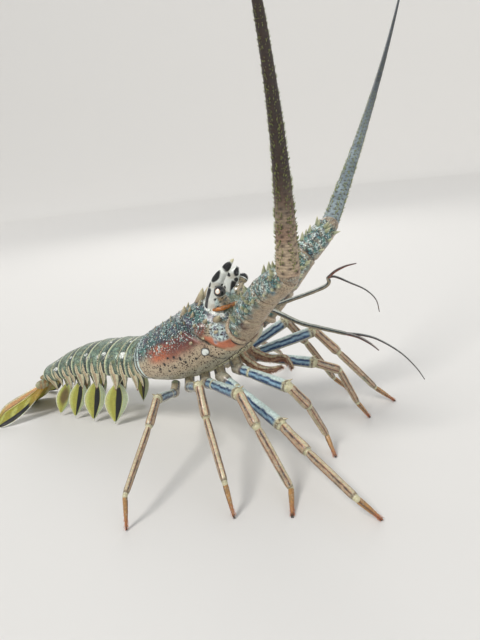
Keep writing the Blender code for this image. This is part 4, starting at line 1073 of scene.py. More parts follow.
    def add_bar(self, surface: Surface, side: Side) -> None:
        """Add the raised orange bar that runs forward under the eye."""
        route = smooth(self.bar, self.bar_rows)
        points = self.stance.place(self.point(route[:, 0], side.value * route[:, 1], route[:, 2]))
        share = np.linspace(0.0, 1.0, self.bar_rows)
        radii = self.bar_radius * np.sin(np.pi * (0.08 + 0.84 * share)) ** 0.5
        grid, along, angle = Path(points, UP).tube(radii, 30)
        mask = 0.6 * step(ripple(along, angle * 0.05, 6.0, 5), -0.1, 0.5)
        surface.add(grid, layered(along.shape, Tone.AMBER, (Tone.EARTH, mask)), (0.1, 0.1, 0.3))


@dataclass
class Head:
    """Horns and eyes on both sides of the head, placed in the body frame."""

    stance: Stance
    horn: Knots = ((84.0, -15.0, 19.0), (91.5, -16.0, 29.5), (101.5, -16.2, 38.0), (118.0, -15.0, 45.5))
    horn_radii: Knots = ((0.0, 7.6), (0.3, 6.2), (0.6, 4.9), (0.85, 2.9), (1.0, 0.4))
    horn_rows: int = 70
    horn_columns: int = 56
    horn_wide: float = 0.74
    worn_share: float = 0.62
    patches: Knots = ((0.59, 56.0, 0.13, 44.0), (0.84, 92.0, 0.10, 84.0),
                      (0.41, 40.0, 0.05, 26.0), (0.44, 128.0, 0.035, 26.0),
                      (0.50, 160.0, 0.03, 18.0), (0.20, 124.0, 0.03, 14.0))
    eye: Row = (99.5, 22.5, 28.5)
    eye_radius: float = 4.6
    eye_grid: Sequence[int] = (60, 64)
    stalk: Row = (90.0, 10.0, 17.0)
    stalk_radius: float = 3.1
    socket: Row = (92.5, 15.5, 20.0)
    socket_size: Row = (7.4, 5.4, 6.6)

    def build_horn(self, side: Side) -> None:
        """A horn along its path; the left one ends in a worn, blunt tip."""
        knots = [side.point(x, -y, z) for x, y, z in self.horn]
        points = self.stance.place(smooth(knots, self.horn_rows))
        radii = profile(self.horn_radii, np.linspace(0.0, 1.0, self.horn_rows))
        if side is Side.LEFT:
            kept = int(self.horn_rows * self.worn_share) + 6
            points = points[:kept]
            radii = radii[:kept].copy()
            radii[-8:] *= np.linspace(1.0, 0.3, 8) ** 0.7
        pitch = math.radians(self.stance.pitch)
        path = Path(points, np.array((-math.sin(pitch), 0.0, math.cos(pitch))))
        reach = path.distance() / path.distance()[-1]
        reach = reach * (self.worn_share if side is Side.LEFT else 1.0)
        grid, along, angle = path.tube(radii, self.horn_columns, self.horn_wide)
        share = np.broadcast_to(reach[:, None], along.shape)
        wave = ripple(along, angle * 0.06, 9.0, 6)
        outer = np.mod((angle if side is Side.RIGHT else 180.0 - angle) + 120.0, 360.0) - 120.0
        outer = np.abs(outer + 8.0 * wave)
        share = share + 0.012 * wave
        black = band(outer, 56.0, 17.0, 7.0) * band(share, 0.18, 0.17, 0.04)
        for place, turn, length, width in self.patches:
            black = np.maximum(black, spot(share, outer, (place, turn), (length, width), 0.22))
        tint = layered(
            share.shape, Tone.WHITE * 0.85,
            (Tone.SAND, 0.45 * step(wave, 0.0, 0.5)),
            Stripe(Tone.WHITE, 4.0, 22.0, 12.0).layer(outer),
            (Tone.BLACK, black),
            *zones(share, (Stripe(Tone.WHITE, 0.73, 0.02, 0.02),
                           Edge(Tone.CREAM, 0.925, 0.95))))
        surface = Surface("horn_" + side.label + "_surface")
        surface.add(grid, tint, (0.0, 0.0, 0.1))
        surface.build("horn", HORN, "horn_" + side.label)

    def build_eye(self, side: Side) -> None:
        """The eye ball with its pale ring and a painted highlight, on a short marked stalk."""
        centre = self.stance.place(side.point(*self.eye))
        root = self.stance.place(side.point(*self.stalk))
        aim = unit(centre - root)
        helper = unit(np.cross(aim, UP))
        third = np.cross(helper, aim)
        grid = ball(centre, aim * self.eye_radius, helper * self.eye_radius,
                    third * self.eye_radius, *self.eye_grid)
        # Painted highlight: a pink patch with a white centre where the eye faces outward, a little
        # forward and up.
        highlight_facing = (grid - centre) @ unit(side.point(0.05, 1.0, 0.25)) / self.eye_radius
        back = (grid - centre) @ aim / self.eye_radius
        tint = layered(
            highlight_facing.shape, Tone.BLACK * 0.4,
            *zones(highlight_facing, (Edge(Tone.PINK * 1.3, 0.90, 0.92),
                            Edge(Tone.WHITE, 0.93, 0.96))),
            *zones(back, (Stripe(Tone.WHITE, -0.12, 0.05, 0.05),
                          Edge(Tone.SAND, -0.25, -0.35))))
        surface = Surface("eye_" + side.label + "_surface")
        surface.add(grid, tint)
        points = root + (centre - root) * np.linspace(0.0, 0.92, 24)[:, None]
        radii = self.stalk_radius * (1.0 + 0.12 * np.cos(np.linspace(0.0, 9.0, 24)))
        tube, along, angle = Path(points, UP).tube(radii, 28)
        mask = step(ripple(along, angle * 0.05, 3.0, 8), 0.1, 0.3)
        surface.add(tube, layered(along.shape, Tone.SAND, (Tone.INK, mask)))
        self.add_socket(surface, side)
        surface.build("eye", EYE, "eye_" + side.label)

    def add_socket(self, surface: Surface, side: Side) -> None:
        """Add the swelling that carries the stalk: a squashed ball on the shell."""
        wide, deep, high = np.diag(self.socket_size)
        local = ball(np.zeros(3), high, wide, deep * side.value, 40, 48)
        grid = self.stance.place(local + side.point(*self.socket))
        ahead, above = local[..., 0], local[..., 2]
        wave = ripple(ahead, above, 5.0, 9)
        tint = layered(
            ahead.shape, Tone.MIST * 0.7,
            (Tone.SAND, step(ahead, 0.0, 2.5)),
            (Tone.MOSS, 0.8 * step(wave, 0.15, 0.35) * step(ahead, -2.0, 2.0)),
            (Tone.INK, 0.9 * spot(ahead, above, (-1.0, -1.0), (1.4, 0.7), 0.3)))
        surface.add(grid, tint, (0.2, 0.0, 0.4))

    def build(self) -> None:
        """Make both horns and both eyes."""
        for side in Side:
            self.build_horn(side)
            self.build_eye(side)


@dataclass
class Antennae:
    """Thick spiny antenna bases and their long ringed lashes."""

    stance: Stance
    root: Row = (97.0, 19.0, -7.0)
    radii: Row = (10.0, 11.8, 11.6, 11.2, 10.6, 10.0, 8.2)
    bend_share: float = 0.55
    knuckle_share: float = 0.93
    collar_place: float = 7.0
    collar_radius: float = 10.6
    collar_thickness: float = 2.5
    collar_rows: int = 120
    gap: float = 0.3
    overlap: float = 2.0
    base_rows: int = 64
    base_columns: int = 96
    base_spines: Knots = ((16, 4.0, 6.4, 0.3), (60, 1.0, 2.4, 0.13))
    split: int = 10
    knots: int = 22
    tip_radius: float = 0.3
    lash_rows: Sequence[int] = (520, 420)
    lash_columns: int = 20
    lash_pitch: Row = (1.9, 1.1)
    spinules: Sequence[int] = (1300, 700)

    def bases(self, side: Side) -> Knots:
        """Length, azimuth and elevation of the three base segments."""
        if side is Side.RIGHT:
            return (34.0, -41.0, 45.0), (29.0, -39.0, 36.0), (27.0, -35.0, 29.0)
        return (35.0, 21.0, 50.0), (30.0, 26.0, 50.0), (30.0, 37.0, 42.0)

    def lash(self, side: Side) -> tuple[float, Array, Array, float, float]:
        """Length, direction, bend per square millimetre, root radius and taper."""
        if side is Side.RIGHT:
            return (345.0, heading(-56.0, 82.0), np.array((-0.00025, -0.00085, -0.00022)), 7.7, 128.0)
        return 400.0, heading(80.0, 39.0), np.array((-0.00012, 0.0, 0.00008)), 6.9, 205.0

    def joints(self, side: Side) -> Array:
        """The four joint places of an antenna base."""
        return chain(self.stance.place(side.point(*self.root)), self.bases(side))

    def build_base(self, side: Side) -> None:
        """Three segments, each with rolled ends, granules and rows of strong spines."""
        joints = self.joints(side)
        for index, (start, end) in enumerate(zip(joints, joints[1:])):
            run = unit(end - start)
            length = float(np.linalg.norm(end - start))
            first = self.gap if index else -self.overlap
            reach = np.linspace(first, length - self.gap, self.base_rows)
            share = reach / length
            radii = np.interp(share, (0.0, self.bend_share, 1.0), self.radii[2 * index:2 * index + 3])
            radii = radii * (1.0 + 0.03 * band(share, 0.9, 0.03, 0.05)
                             - 0.07 * step(share, 0.95, 1.0) - 0.09 * (1.0 - step(share, 0.02, 0.12)))
            along, angle = np.meshgrid(reach, around(self.base_columns), indexing="ij")
            lumps = 0.02 * ripple(along, angle * 0.2, 5.0, 10 + index)
            lumps = lumps - 0.03 * band(along, length * 0.86, 0.4, 0.8)
            path = Path(start + run * reach[:, None], UP)
            name = "antenna_{}_{}".format(side.label, index + 1)
            surface = Surface(name + "_surface")
            surface.add(path.tube(radii, self.base_columns, 1.0, lumps)[0],
                        *self.paint_base(index, share, along, angle))
            self.add_base_spines(surface, index, path, radii)
            if index == 0:
                self.add_collar(surface, start + run * self.collar_place, run)
            inner = radii[-1] * self.knuckle_share
            across = unit(np.cross(run, UP)) * inner
            surface.add(ball(end, run * inner, across, np.cross(across, run), 24, 40),
                        Tone.TAN * 0.75, (0.5, 0.2, 0.4))
            surface.build("antenna", PEDUNCLE, name)

    def paint_base(self, index: int, share: Array, along: Array, angle: Array) -> tuple[Array, Array]:
        """Blue-green and white patches above, tan below, a pale rim and a dark root."""
        low = fold(angle)
        wave, tan, dark = (ripple(along, angle * 0.2, pitch, seed) for pitch, seed in
                           ((14.0, 20 + index), (9.0, 27 + index), (5.0, 25)))
        ends = share[:, None] + 0.0 * low
        stain = spot(ends, low, (0.80, 138.0), (0.16, 26.0), 0.6) * (index == 0)
        tint = layered(
            low.shape, Tone.TEAL * 0.75,
            (Tone.MIST, step(wave, 0.0, 0.4)),
            (Tone.SKY, 0.5 * step(-wave, 0.15, 0.5)),
            (Tone.TAN * 1.1, 0.65 * step(tan, -0.05, 0.25)),
            (Tone.INK, 0.8 * step(dark, 0.12, 0.35)),
            (Tone.TAN, step(low + 18.0 * wave, 112.0, 146.0)),
            Stripe(Tone.SAND * 1.1, 0.95, 0.012, 0.02, 0.8).layer(ends),
            (Tone.BARK * 0.5, 0.8 * (1.0 - step(ends, 0.01, 0.05))),
            (Tone.BLOOD * 0.5, stain * step(wave + 0.3, 0.0, 0.4)))
        upper = 1.0 - step(low, 100.0, 140.0)
        return tint, np.stack((0.5 + 0.3 * upper, 0.6 * upper, 0.5 * upper + 0.25), axis=-1)

    def add_collar(self, surface: Surface, centre: Array, run: Array) -> None:
        """Add the tan collar around the root: an arc about the segment's own line."""
        across = unit(np.cross(run, UP))
        top = np.cross(across, run)
        turn = np.radians(np.linspace(-165.0, 165.0, self.collar_rows))[:, None]
        ring = top * np.cos(turn) + across * np.sin(turn)
        grid, _, angle = Path(centre + ring * self.collar_radius, run).tube(
            np.full(self.collar_rows, self.collar_thickness), 24)
        dark = 0.8 * step(np.abs(fold(angle) - 90.0), 50.0, 75.0)
        surface.add(grid, layered(angle.shape, Tone.TAN * 1.15, (Tone.EARTH, dark)), (0.3, 0.1, 0.2))

    def add_base_spines(self, surface: Surface, index: int, path: Path, radii: Array) -> None:
        """Strong spines around the segment, and small ones scattered between them."""
        draw = np.random.default_rng(SEED + index)
        run = path.frames()[0]
        scale = min(1.0, path.distance()[-1] / 25.0)
        for count, low, high, spread in self.base_spines:
            place = draw.uniform(0.22 + 0.15 * (index == 0), 0.9, count)
            rows = np.clip((place * (len(radii) - 1)).astype(int), 0, len(radii) - 1)
            out = path.outward(rows, np.radians(draw.uniform(-125.0, 125.0, count)))
            length = draw.uniform(low, high, count) * scale
            surface.add_spikes(Spikes(path.points[rows] + out * (radii[rows] * 0.92)[:, None],
                                      unit(out + run[rows] * 0.7), length,
                                      length * spread + 0.2,
                                      run[rows] * (length * 0.2)[:, None], 7, 9),
                               Tone.SAGE * 0.7, Tone.CREAM)

    def build_lash(self, side: Side) -> None:
        """Two lengths of the ringed lash with whorls of spinules."""
        length, ahead, bend, radius, taper = self.lash(side)
        root = self.joints(side)[-1]
        split = (self.split / (self.knots - 1)) ** 1.15 * length
        for index, (first, last) in enumerate(((self.gap, split), (split, length))):
            reach = np.linspace(first, last, self.lash_rows[index])
            points = root + ahead * reach[:, None] + bend * (reach ** 2)[:, None]
            radii = self.tip_radius + (radius - self.tip_radius) * np.exp(-reach / taper) * (
                1.0 - 0.6 * (reach / length) ** 3)
            pitch = np.interp(reach, (0.0, length), self.lash_pitch)
            phase = np.cumsum(np.gradient(reach) / pitch) * 2.0 * np.pi
            ridges = -0.03 * (0.5 + 0.5 * np.cos(phase))
            path = Path(points, np.array((1.0, 0.2, 0.1)))
            grid, along, angle = path.tube(radii, self.lash_columns, 1.0, ridges[:, None])
            wave = ripple(along + first, angle * 0.04, 26.0, 30 + index)
            name = "flagellum_{}_{}".format(side.label, index + 1)
            surface = Surface(name + "_surface")
            surface.add(grid, self.paint_lash(side, reach[:, None], phase[:, None], angle, wave),
                        (0.1, 0.0, 0.2))
            self.add_spinules(surface, path, radii, index)
            surface.build("flagellum", LASH, name)

    def paint_lash(self, side: Side, reach: Array, phase: Array, angle: Array, wave: Array) -> Array:
        """A lash that darkens toward its tip, with rows of dots and a line in each ring."""
        if side is Side.RIGHT:
            base, patch, dark = Tone.TAN, Tone.BRICK, Tone.EARTH * 0.2
            fade = step(reach, 6.0, 66.0) * 0.985
        else:
            base, patch, dark = Tone.HAZE, Tone.SLATE, Tone.INK
            fade = step(reach, 40.0, 200.0) * 0.86
        every = np.ones((1, self.lash_columns))
        dots = step(np.cos(phase / 3.0) * np.cos(np.radians(5.0 * angle)), 0.5, 0.8)
        rings = step(np.cos(phase), 0.55, 0.95) * every
        return layered(
            angle.shape, base,
            (patch, 0.45 * step(wave, 0.0, 0.4)),
            (dark, fade * every),
            (Tone.EARTH * 0.3, 0.9 * dots),
            (Tone.EARTH * 0.5, 0.22 * rings))

    def add_spinules(self, surface: Surface, path: Path, radii: Array, index: int) -> None:
        """Whorls of fine spinules that lean toward the lash's tip."""
        draw = np.random.default_rng(SEED + 40 + index)
        count = self.spinules[index]
        rows = (draw.uniform(0.02, 0.96, count) * (len(radii) - 1)).astype(int)
        out = path.outward(rows, draw.integers(0, 6, count) * np.pi / 3.0
                           + draw.uniform(-0.3, 0.3, count))
        run = path.frames()[0][rows]
        size = np.clip(radii[rows] * 0.36, 0.35, 2.1) * draw.uniform(0.6, 1.25, count)
        surface.add_spikes(Spikes(path.points[rows] + out * (radii[rows] * 0.9)[:, None],
                                  unit(out + run * 0.8), size, size * 0.16 + 0.05,
                                  run * (size * 0.2)[:, None], 4, 5),
                           Tone.MOSS, Tone.LEMON * 0.8)

    def build(self) -> None:
        """Make both antennae."""
        for side in Side:
            self.build_base(side)
            self.build_lash(side)


@dataclass
class Mouth:
    """Antennules and third maxillipeds, on paths in the design frame."""

    stance: Stance
    stem_radii: Row = (2.4, 2.0, 1.7, 1.6, 1.4)
    jaw_radii: Row = (3.6, 3.4, 2.9, 2.3, 0.9)
    jaw_rows: int = 110
    jaw_bristles: int = 700

    def routes(self, side: Side) -> dict[str, Knots]:
        """Stem, short lash and long lash of an antennule, and the maxilliped."""
        if side is Side.RIGHT:
            return {
                "stem": ((48, -5, 101), (66, -7, 106), (91, -12, 98), (107, -14, 95),
                         (125, -16, 92)),
                "short": ((125, -16, 92), (134, -17, 90), (142, -18, 86), (148, -20, 82)),
                "long": ((125, -16, 92), (136, -15, 91), (147, -15, 88), (161, -16, 80),
                         (171, -16, 70), (177, -16, 61)),
                "jaw": ((40, -6, 72), (44, -8, 65), (54, -8, 59), (64, -8, 58), (73, -7, 61))}
        return {
            "stem": ((48, 5, 101), (62, 7, 104), (74, 8, 108), (105, 12, 119), (108, 12, 126)),
            "short": ((108, 12, 126), (114, 10, 131), (122, 8, 135), (130, 7, 137)),
            "long": ((108, 12, 126), (113, 14, 126), (123, 16, 121), (134, 18, 115),
                     (141, 20, 107), (143, 22, 97)),
            "jaw": ((40, 6, 72), (44, 8, 66), (58, 8, 61), (71, 8, 62), (77, 8, 53))}

    def strand(self, surface: Surface, knots: Knots, radii: Row, count: int,
               base: Array, stripe: Array, ring: float) -> None:
        """Add a ringed strand: radius times 1 - 0.06 cos(2 pi distance / ring)."""
        points = self.stance.level(smooth(knots, count))
        path = Path(points, UP)
        reach = path.distance()
        size = np.interp(np.linspace(0, 1, count), np.linspace(0, 1, len(radii)), radii)
        ridges = -0.03 - 0.03 * np.cos(reach / ring * 2.0 * np.pi)
        grid, _, angle = path.tube(size, 18, 1.0, ridges[:, None])
        lines = (Stripe(stripe, 70.0, 14.0, 8.0), Stripe(Tone.MIST, 30.0, 7.0, 6.0, 0.8))
        surface.add(grid, layered(angle.shape, base, *zones(fold(angle), lines)), (0.1, 0.1, 0.2))

    def build(self) -> None:
        """Make both antennules and both maxillipeds."""
        for side in Side:
            routes = self.routes(side)
            stem = Surface("antennule_" + side.label + "_surface")
            self.strand(stem, routes["stem"], self.stem_radii, 150, Tone.SAND * 0.7, Tone.INK, 9.0)
            stem.build("antennule", LASH, "antennule_" + side.label)
            lashes = Surface("antennule_lashes_" + side.label + "_surface")
            self.strand(lashes, routes["long"], (1.1, 0.8, 0.5, 0.3), 240, Tone.BARK, Tone.INK, 0.9)
            self.strand(lashes, routes["short"], (1.2, 1.0, 0.4), 120, Tone.BRICK, Tone.INK, 0.9)
            lashes.build("antennule", LASH, "antennule_lashes_" + side.label)
            self.build_jaw(side, routes["jaw"])

    def build_jaw(self, side: Side, knots: Knots) -> None:
        """A leg-like maxilliped with a dense fringe of bristles along its inner edge."""
        path = Path(self.stance.level(smooth(knots, self.jaw_rows)), UP)
        radii = np.interp(np.linspace(0, 1, self.jaw_rows), np.linspace(0, 1, 5), self.jaw_radii)
        grid, along, angle = path.tube(radii, 32, 0.9)
        low = fold(angle)
        patches = step(ripple(along, angle * 0.06, 5.0, 61), 0.1, 0.4)
        tint = layered(
            low.shape, Tone.PINK * 0.8,
            Stripe(Tone.CREAM, 40.0, 12.0, 10.0).layer(low),
            (Tone.BRICK, 0.7 * patches),
            Stripe(Tone.EARTH, 82.0, 4.0, 5.0).layer(low))
        surface = Surface("maxilliped_" + side.label + "_surface")
        surface.add(grid, tint, (0.4, 0.1, 0.3))
        draw = np.random.default_rng(SEED + 60)
        count = self.jaw_bristles
        rows = (draw.uniform(0.3, 1.0, count) * (self.jaw_rows - 1)).astype(int)
        out = path.outward(rows, np.radians(draw.normal(180.0, 45.0, count)))
        run = path.frames()[0][rows]
        length = draw.uniform(1.2, 3.2, count)
        surface.add_spikes(Spikes(
            path.points[rows] + out * (radii[rows] * 0.85)[:, None],
            unit(out + run * 0.5), length, np.full(count, 0.13),
            run * (length * 0.3)[:, None], 4, 4), Tone.BRICK, Tone.PINK)
        surface.build("mouthparts", MOUTH, "maxilliped_" + side.label)


class LegPart(Enum):
    """Kinds of leg length, which differ in colour."""

    COXA = "coxa"
    MERUS = "merus"
    SHANK = "shank"
    DACTYL = "dactyl"


@dataclass(frozen=True)
class LegLook:
    """Colours of one kind of leg length.

    Args:
        base: first colour.
        around: stripes that run along it, placed by the angle from the top.
        along: rings around it, placed by the share of its length.
        patchy: how strong its green patches are.
    """

    base: Array
    around: Zones
    along: Zones = ()
    patchy: float = 0.0


LEG_LOOKS = {
    LegPart.COXA: LegLook(
        Tone.SAND * 1.1,
        (Stripe(Tone.BLUE * 0.7, 60.0, 8.0, 8.0, 0.7), Stripe(Tone.EARTH, 100.0, 3.0, 4.0, 0.7)),
        patchy=1.0),
    LegPart.MERUS: LegLook(
        Tone.MIST,
        (Stripe(Tone.BLUE * 0.5, 48.0, 9.0, 6.0), Stripe(Tone.SKY * 1.2, 72.0, 10.0, 6.0, 0.7),
         Stripe(Tone.BLUE * 0.5, 98.0, 12.0, 6.0), Stripe(Tone.SAND, 126.0, 8.0, 8.0, 0.8),
         Stripe(Tone.INK, 146.0, 3.0, 4.0), Stripe(Tone.MIST, 18.0, 10.0, 8.0, 0.6)),
        (Edge(Tone.CREAM, 0.9, 0.95), Stripe(Tone.EARTH, 0.955, 0.008, 0.012, 0.8),
         Edge(Tone.SAND * 1.1, 0.17, 0.12, 0.85), Stripe(Tone.EARTH, 0.15, 0.01, 0.01, 0.8),
         Stripe(Tone.CREAM, 0.30, 0.012, 0.01))),
    LegPart.SHANK: LegLook(
        Tone.PINK,
        (Stripe(Tone.BARK * 0.6, 40.0, 7.0, 4.0), Stripe(Tone.SAND, 66.0, 8.0, 6.0, 0.8),
         Stripe(Tone.BARK * 0.6, 94.0, 6.0, 4.0), Stripe(Tone.RING, 118.0, 6.0, 6.0, 0.7),
         Stripe(Tone.CREAM, 6.0, 10.0, 8.0, 0.8), Stripe(Tone.CREAM, 146.0, 9.0, 7.0)),
        (Edge(Tone.CREAM, 0.93, 0.97), Stripe(Tone.EARTH, 0.965, 0.008, 0.012, 0.8))),
    LegPart.DACTYL: LegLook(
        Tone.GOLD * 0.85,
        (Stripe(Tone.EARTH, 82.0, 12.0, 12.0, 0.8),),
        (Edge(Tone.RUST * 0.8, 0.4, 0.85, 0.35), Edge(Tone.EARTH * 0.5, 0.84, 0.95)))}


@dataclass
class Legs:
    """Ten walking legs: upper length to the knee, then carpus, propodus and dactyl."""

    stance: Stance
    foot: float = 0.75
    sink: float = 9.0
    columns: int = 30
    lengths: dict = field(default_factory=lambda: {
        1: (57.0, 21.0, 32.0, 18.0, 4.3), 2: (73.0, 27.0, 50.0, 21.0, 4.5),
        3: (68.0, 27.0, 46.0, 21.0, 4.4), 4: (57.0, 23.0, 48.0, 22.0, 4.0),
        5: (50.0, 22.0, 51.0, 21.0, 3.6)})
    coxae: dict = field(default_factory=lambda: {
        1: (76.0, 13.0, -31.2), 2: (61.6, 16.0, -31.6), 3: (48.0, 19.0, -32.0),
        4: (33.8, 22.0, -31.0), 5: (19.9, 24.0, -30.5)})
    poses: dict = field(default_factory=lambda: {
        Side.RIGHT: {1: ((-24, -3), (32, -53), (51, -63), -51),
                     2: ((-27, -18), (-34, -19), (-40, -8), 20),
                     3: ((-41, 11), (-43, -31), (-9, -62), -72),
                     4: ((-51, 22), (-53, -50), (-51, -34), -39),
                     5: ((-74, 19), (-81, -33), (-81, -27), -74)},
        Side.LEFT: {1: ((9, -7), (28, -25), (8, -65), 27),
                    2: ((30, 13), (4, -45), (30, -50), 10),
                    3: ((42, 24), (28, -54), (27, -58), 27),
                    4: ((72, 20), (75, -48), (80, -34), 75),
                    5: ((100, 18), (105, -35), (108, -26), 100)}})
    hairs: int = 150
    half_gap: float = 0.15
    marks: Row = (0.12, 0.15, 0.25)
    coxa: Knots = ((0.0, 1.1), (1.0, 1.1))
    merus: Knots = ((0.0, 1.1), (0.12, 1.12), (0.17, 0.9), (0.27, 0.98), (0.32, 0.84),
                    (0.45, 0.96), (0.92, 1.08), (0.965, 1.08), (1.0, 0.84))
    carpus: Knots = ((0.0, 0.78), (0.08, 0.9), (0.25, 0.82), (0.88, 0.94), (0.96, 0.9), (1.0, 0.66))
    propodus: Knots = ((0.0, 0.5), (0.05, 0.66), (0.2, 0.7), (0.94, 0.62), (1.0, 0.44))
    dactyl: Knots = ((0.0, 0.42), (0.06, 0.5), (0.5, 0.4), (1.0, 0.17))

    def joints(self, side: Side, number: int) -> Array:
        """Places from the coxa to the tip, which reaches down to the floor: the last
        length drops by asin(height / length)."""
        sizes = self.lengths[number]
        pose = self.poses[side][number]
        places = chain(self.stance.place(side.point(*self.coxae[number])),
                       [(length, *turns) for length, turns in zip(sizes, pose[:3])])
        height = places[-1][2] - self.foot / 2.0
        drop = -math.degrees(math.asin(min(0.98, height / sizes[3])))
        return np.vstack((places, places[-1] + heading(pose[3], drop) * sizes[3]))

    def segment(self, surface: Surface, start: Array, end: Array, outline: Knots,
                size: float, part: LegPart) -> Path:
        """Add one length of leg: radius from its outline, with stripes around it."""
        count = max(24, int(np.linalg.norm(end - start) / 0.75))
        share = np.linspace(0.0, 1.0, count)
        path = Path(start + (end - start) * share[:, None], UP)
        radii = profile(outline, share) * size
        soft = np.arange(-2, 3)
        radii = np.mean([radii[np.clip(np.arange(count) + move, 0, count - 1)] for move in soft], axis=0)
        turns = around(self.columns)
        ridge = 0.03 * np.cos(np.radians(3.0 * turns))[None, :] * band(share, 0.5, 0.3, 0.15)[:, None]
        grid, along, angle = path.tube(radii, self.columns, 0.94, ridge)
        surface.add(grid, self.paint(part, share[:, None], fold(angle), along), self.marks)
        return path

    def paint(self, part: LegPart, share: Array, low: Array, along: Array) -> Array:
        """Lengthwise stripes by the angle from the top, then rings by the share."""
        wave = ripple(along, low * 0.06, 12.0, 50)
        look = LEG_LOOKS[part]
        return layered(
            low.shape, look.base,
            (Tone.SAGE, look.patchy * step(wave, 0.0, 0.4)),
            *zones(low + 7.0 * wave, look.around),
            *zones(np.broadcast_to(share, low.shape), look.along))

    def knob(self, surface: Surface, centre: Array, run: Array, radius: float) -> None:
        """Add the pale soft joint between two lengths: a ball of the given radius."""
        across = unit(np.cross(run, UP))
        grid = ball(centre, run * radius, across * radius, np.cross(across, run) * radius, 14, 20)
        surface.add(grid, Tone.CREAM * 0.85)

    def knee_spines(self, surface: Surface, knee: Array, run: Array, size: float) -> None:
        """Add the short pair of spines past the knee and finer ones beside them."""
        across = unit(np.cross(run, UP))
        above = np.cross(across, run)
        for swing, scale in ((-0.8, 1.0), (0.8, 1.0), (0.0, 0.6), (-2.2, 0.6), (2.2, 0.6)):
            away = unit(above + across * swing)
            base = knee - run * (1.1 * size) + away * (0.72 * size)
            tip = away * (0.85 * size * scale) + run * (0.95 * size * scale)
            surface.add_spikes(Spikes(base[None], unit(tip)[None],
                                      np.array([np.linalg.norm(tip)]),
                                      np.array([0.31 * size * scale]), run[None] * 0.4, 7, 9),
                               Tone.CREAM, Tone.SAND)

    def bristles(self, surface: Surface, path: Path, size: float, seed: int) -> None:
        """Add tufts of stiff hairs around the dactyl, denser toward its tip."""
        draw = np.random.default_rng(seed)
        count = self.hairs
        rows = ((1.0 - draw.uniform(0.12, 0.92, count) ** 1.5) * (len(path.points) - 1)).astype(int)
        out = path.outward(rows, draw.integers(0, 6, count) * np.pi / 3.0
                           + draw.uniform(-0.2, 0.2, count))
        run = path.frames()[0][rows]
        surface.add_spikes(Spikes(
            path.points[rows] + out * 0.25 * size, unit(out * 0.6 + run),
            draw.uniform(1.0, 2.2, count), np.full(count, 0.12),
            out * 0.0, 4, 4), Tone.RUST, Tone.AMBER)

    def build_leg(self, side: Side, number: int) -> None:
        """The upper and the lower piece of one leg."""
        joints = self.joints(side, number)
        size = self.lengths[number][4]
        name = "leg_{}_{}".format(side.label, number)
        inward = self.stance.place(side.point(self.coxae[number][0], 0.0, -10.0)) - joints[0]
        run = unit(joints[1] - joints[0])
        upper = Surface(name + "_upper_surface")
        root = joints[0] + unit(inward) * self.sink
        self.segment(upper, root, joints[0] + run * 2.0, self.coxa, size, LegPart.COXA)
        self.segment(upper, joints[0], joints[1] - run * self.half_gap, self.merus, size, LegPart.MERUS)
        self.knee_spines(upper, joints[1], run, size)
        upper.build("leg", LIMB, name + "_upper")
        lower = Surface(name + "_lower_surface")
        lengths = ((self.carpus, LegPart.SHANK, self.half_gap, 0.74),
                   (self.propodus, LegPart.SHANK, 0.5, 0.62),
                   (self.dactyl, LegPart.DACTYL, 0.5, 0.46))
        for index, (outline, part, lead, ball_share) in enumerate(lengths):
            start, end = joints[index + 1], joints[index + 2]
            onward = unit(end - start)
            path = self.segment(lower, start + onward * lead, end - onward * 0.3 * (index < 2),
                                outline, size, part)
            self.knob(lower, start + onward * 0.2, onward, size * ball_share)
            if index == 0:
                self.knee_spines(lower, end, onward, size * 0.6)
        self.bristles(lower, path, size, number)
        lower.build("leg", LIMB, name + "_lower")

    def build(self) -> None:
        """Make all ten legs."""
        for side in Side:
            for number in self.lengths:
                self.build_leg(side, number)


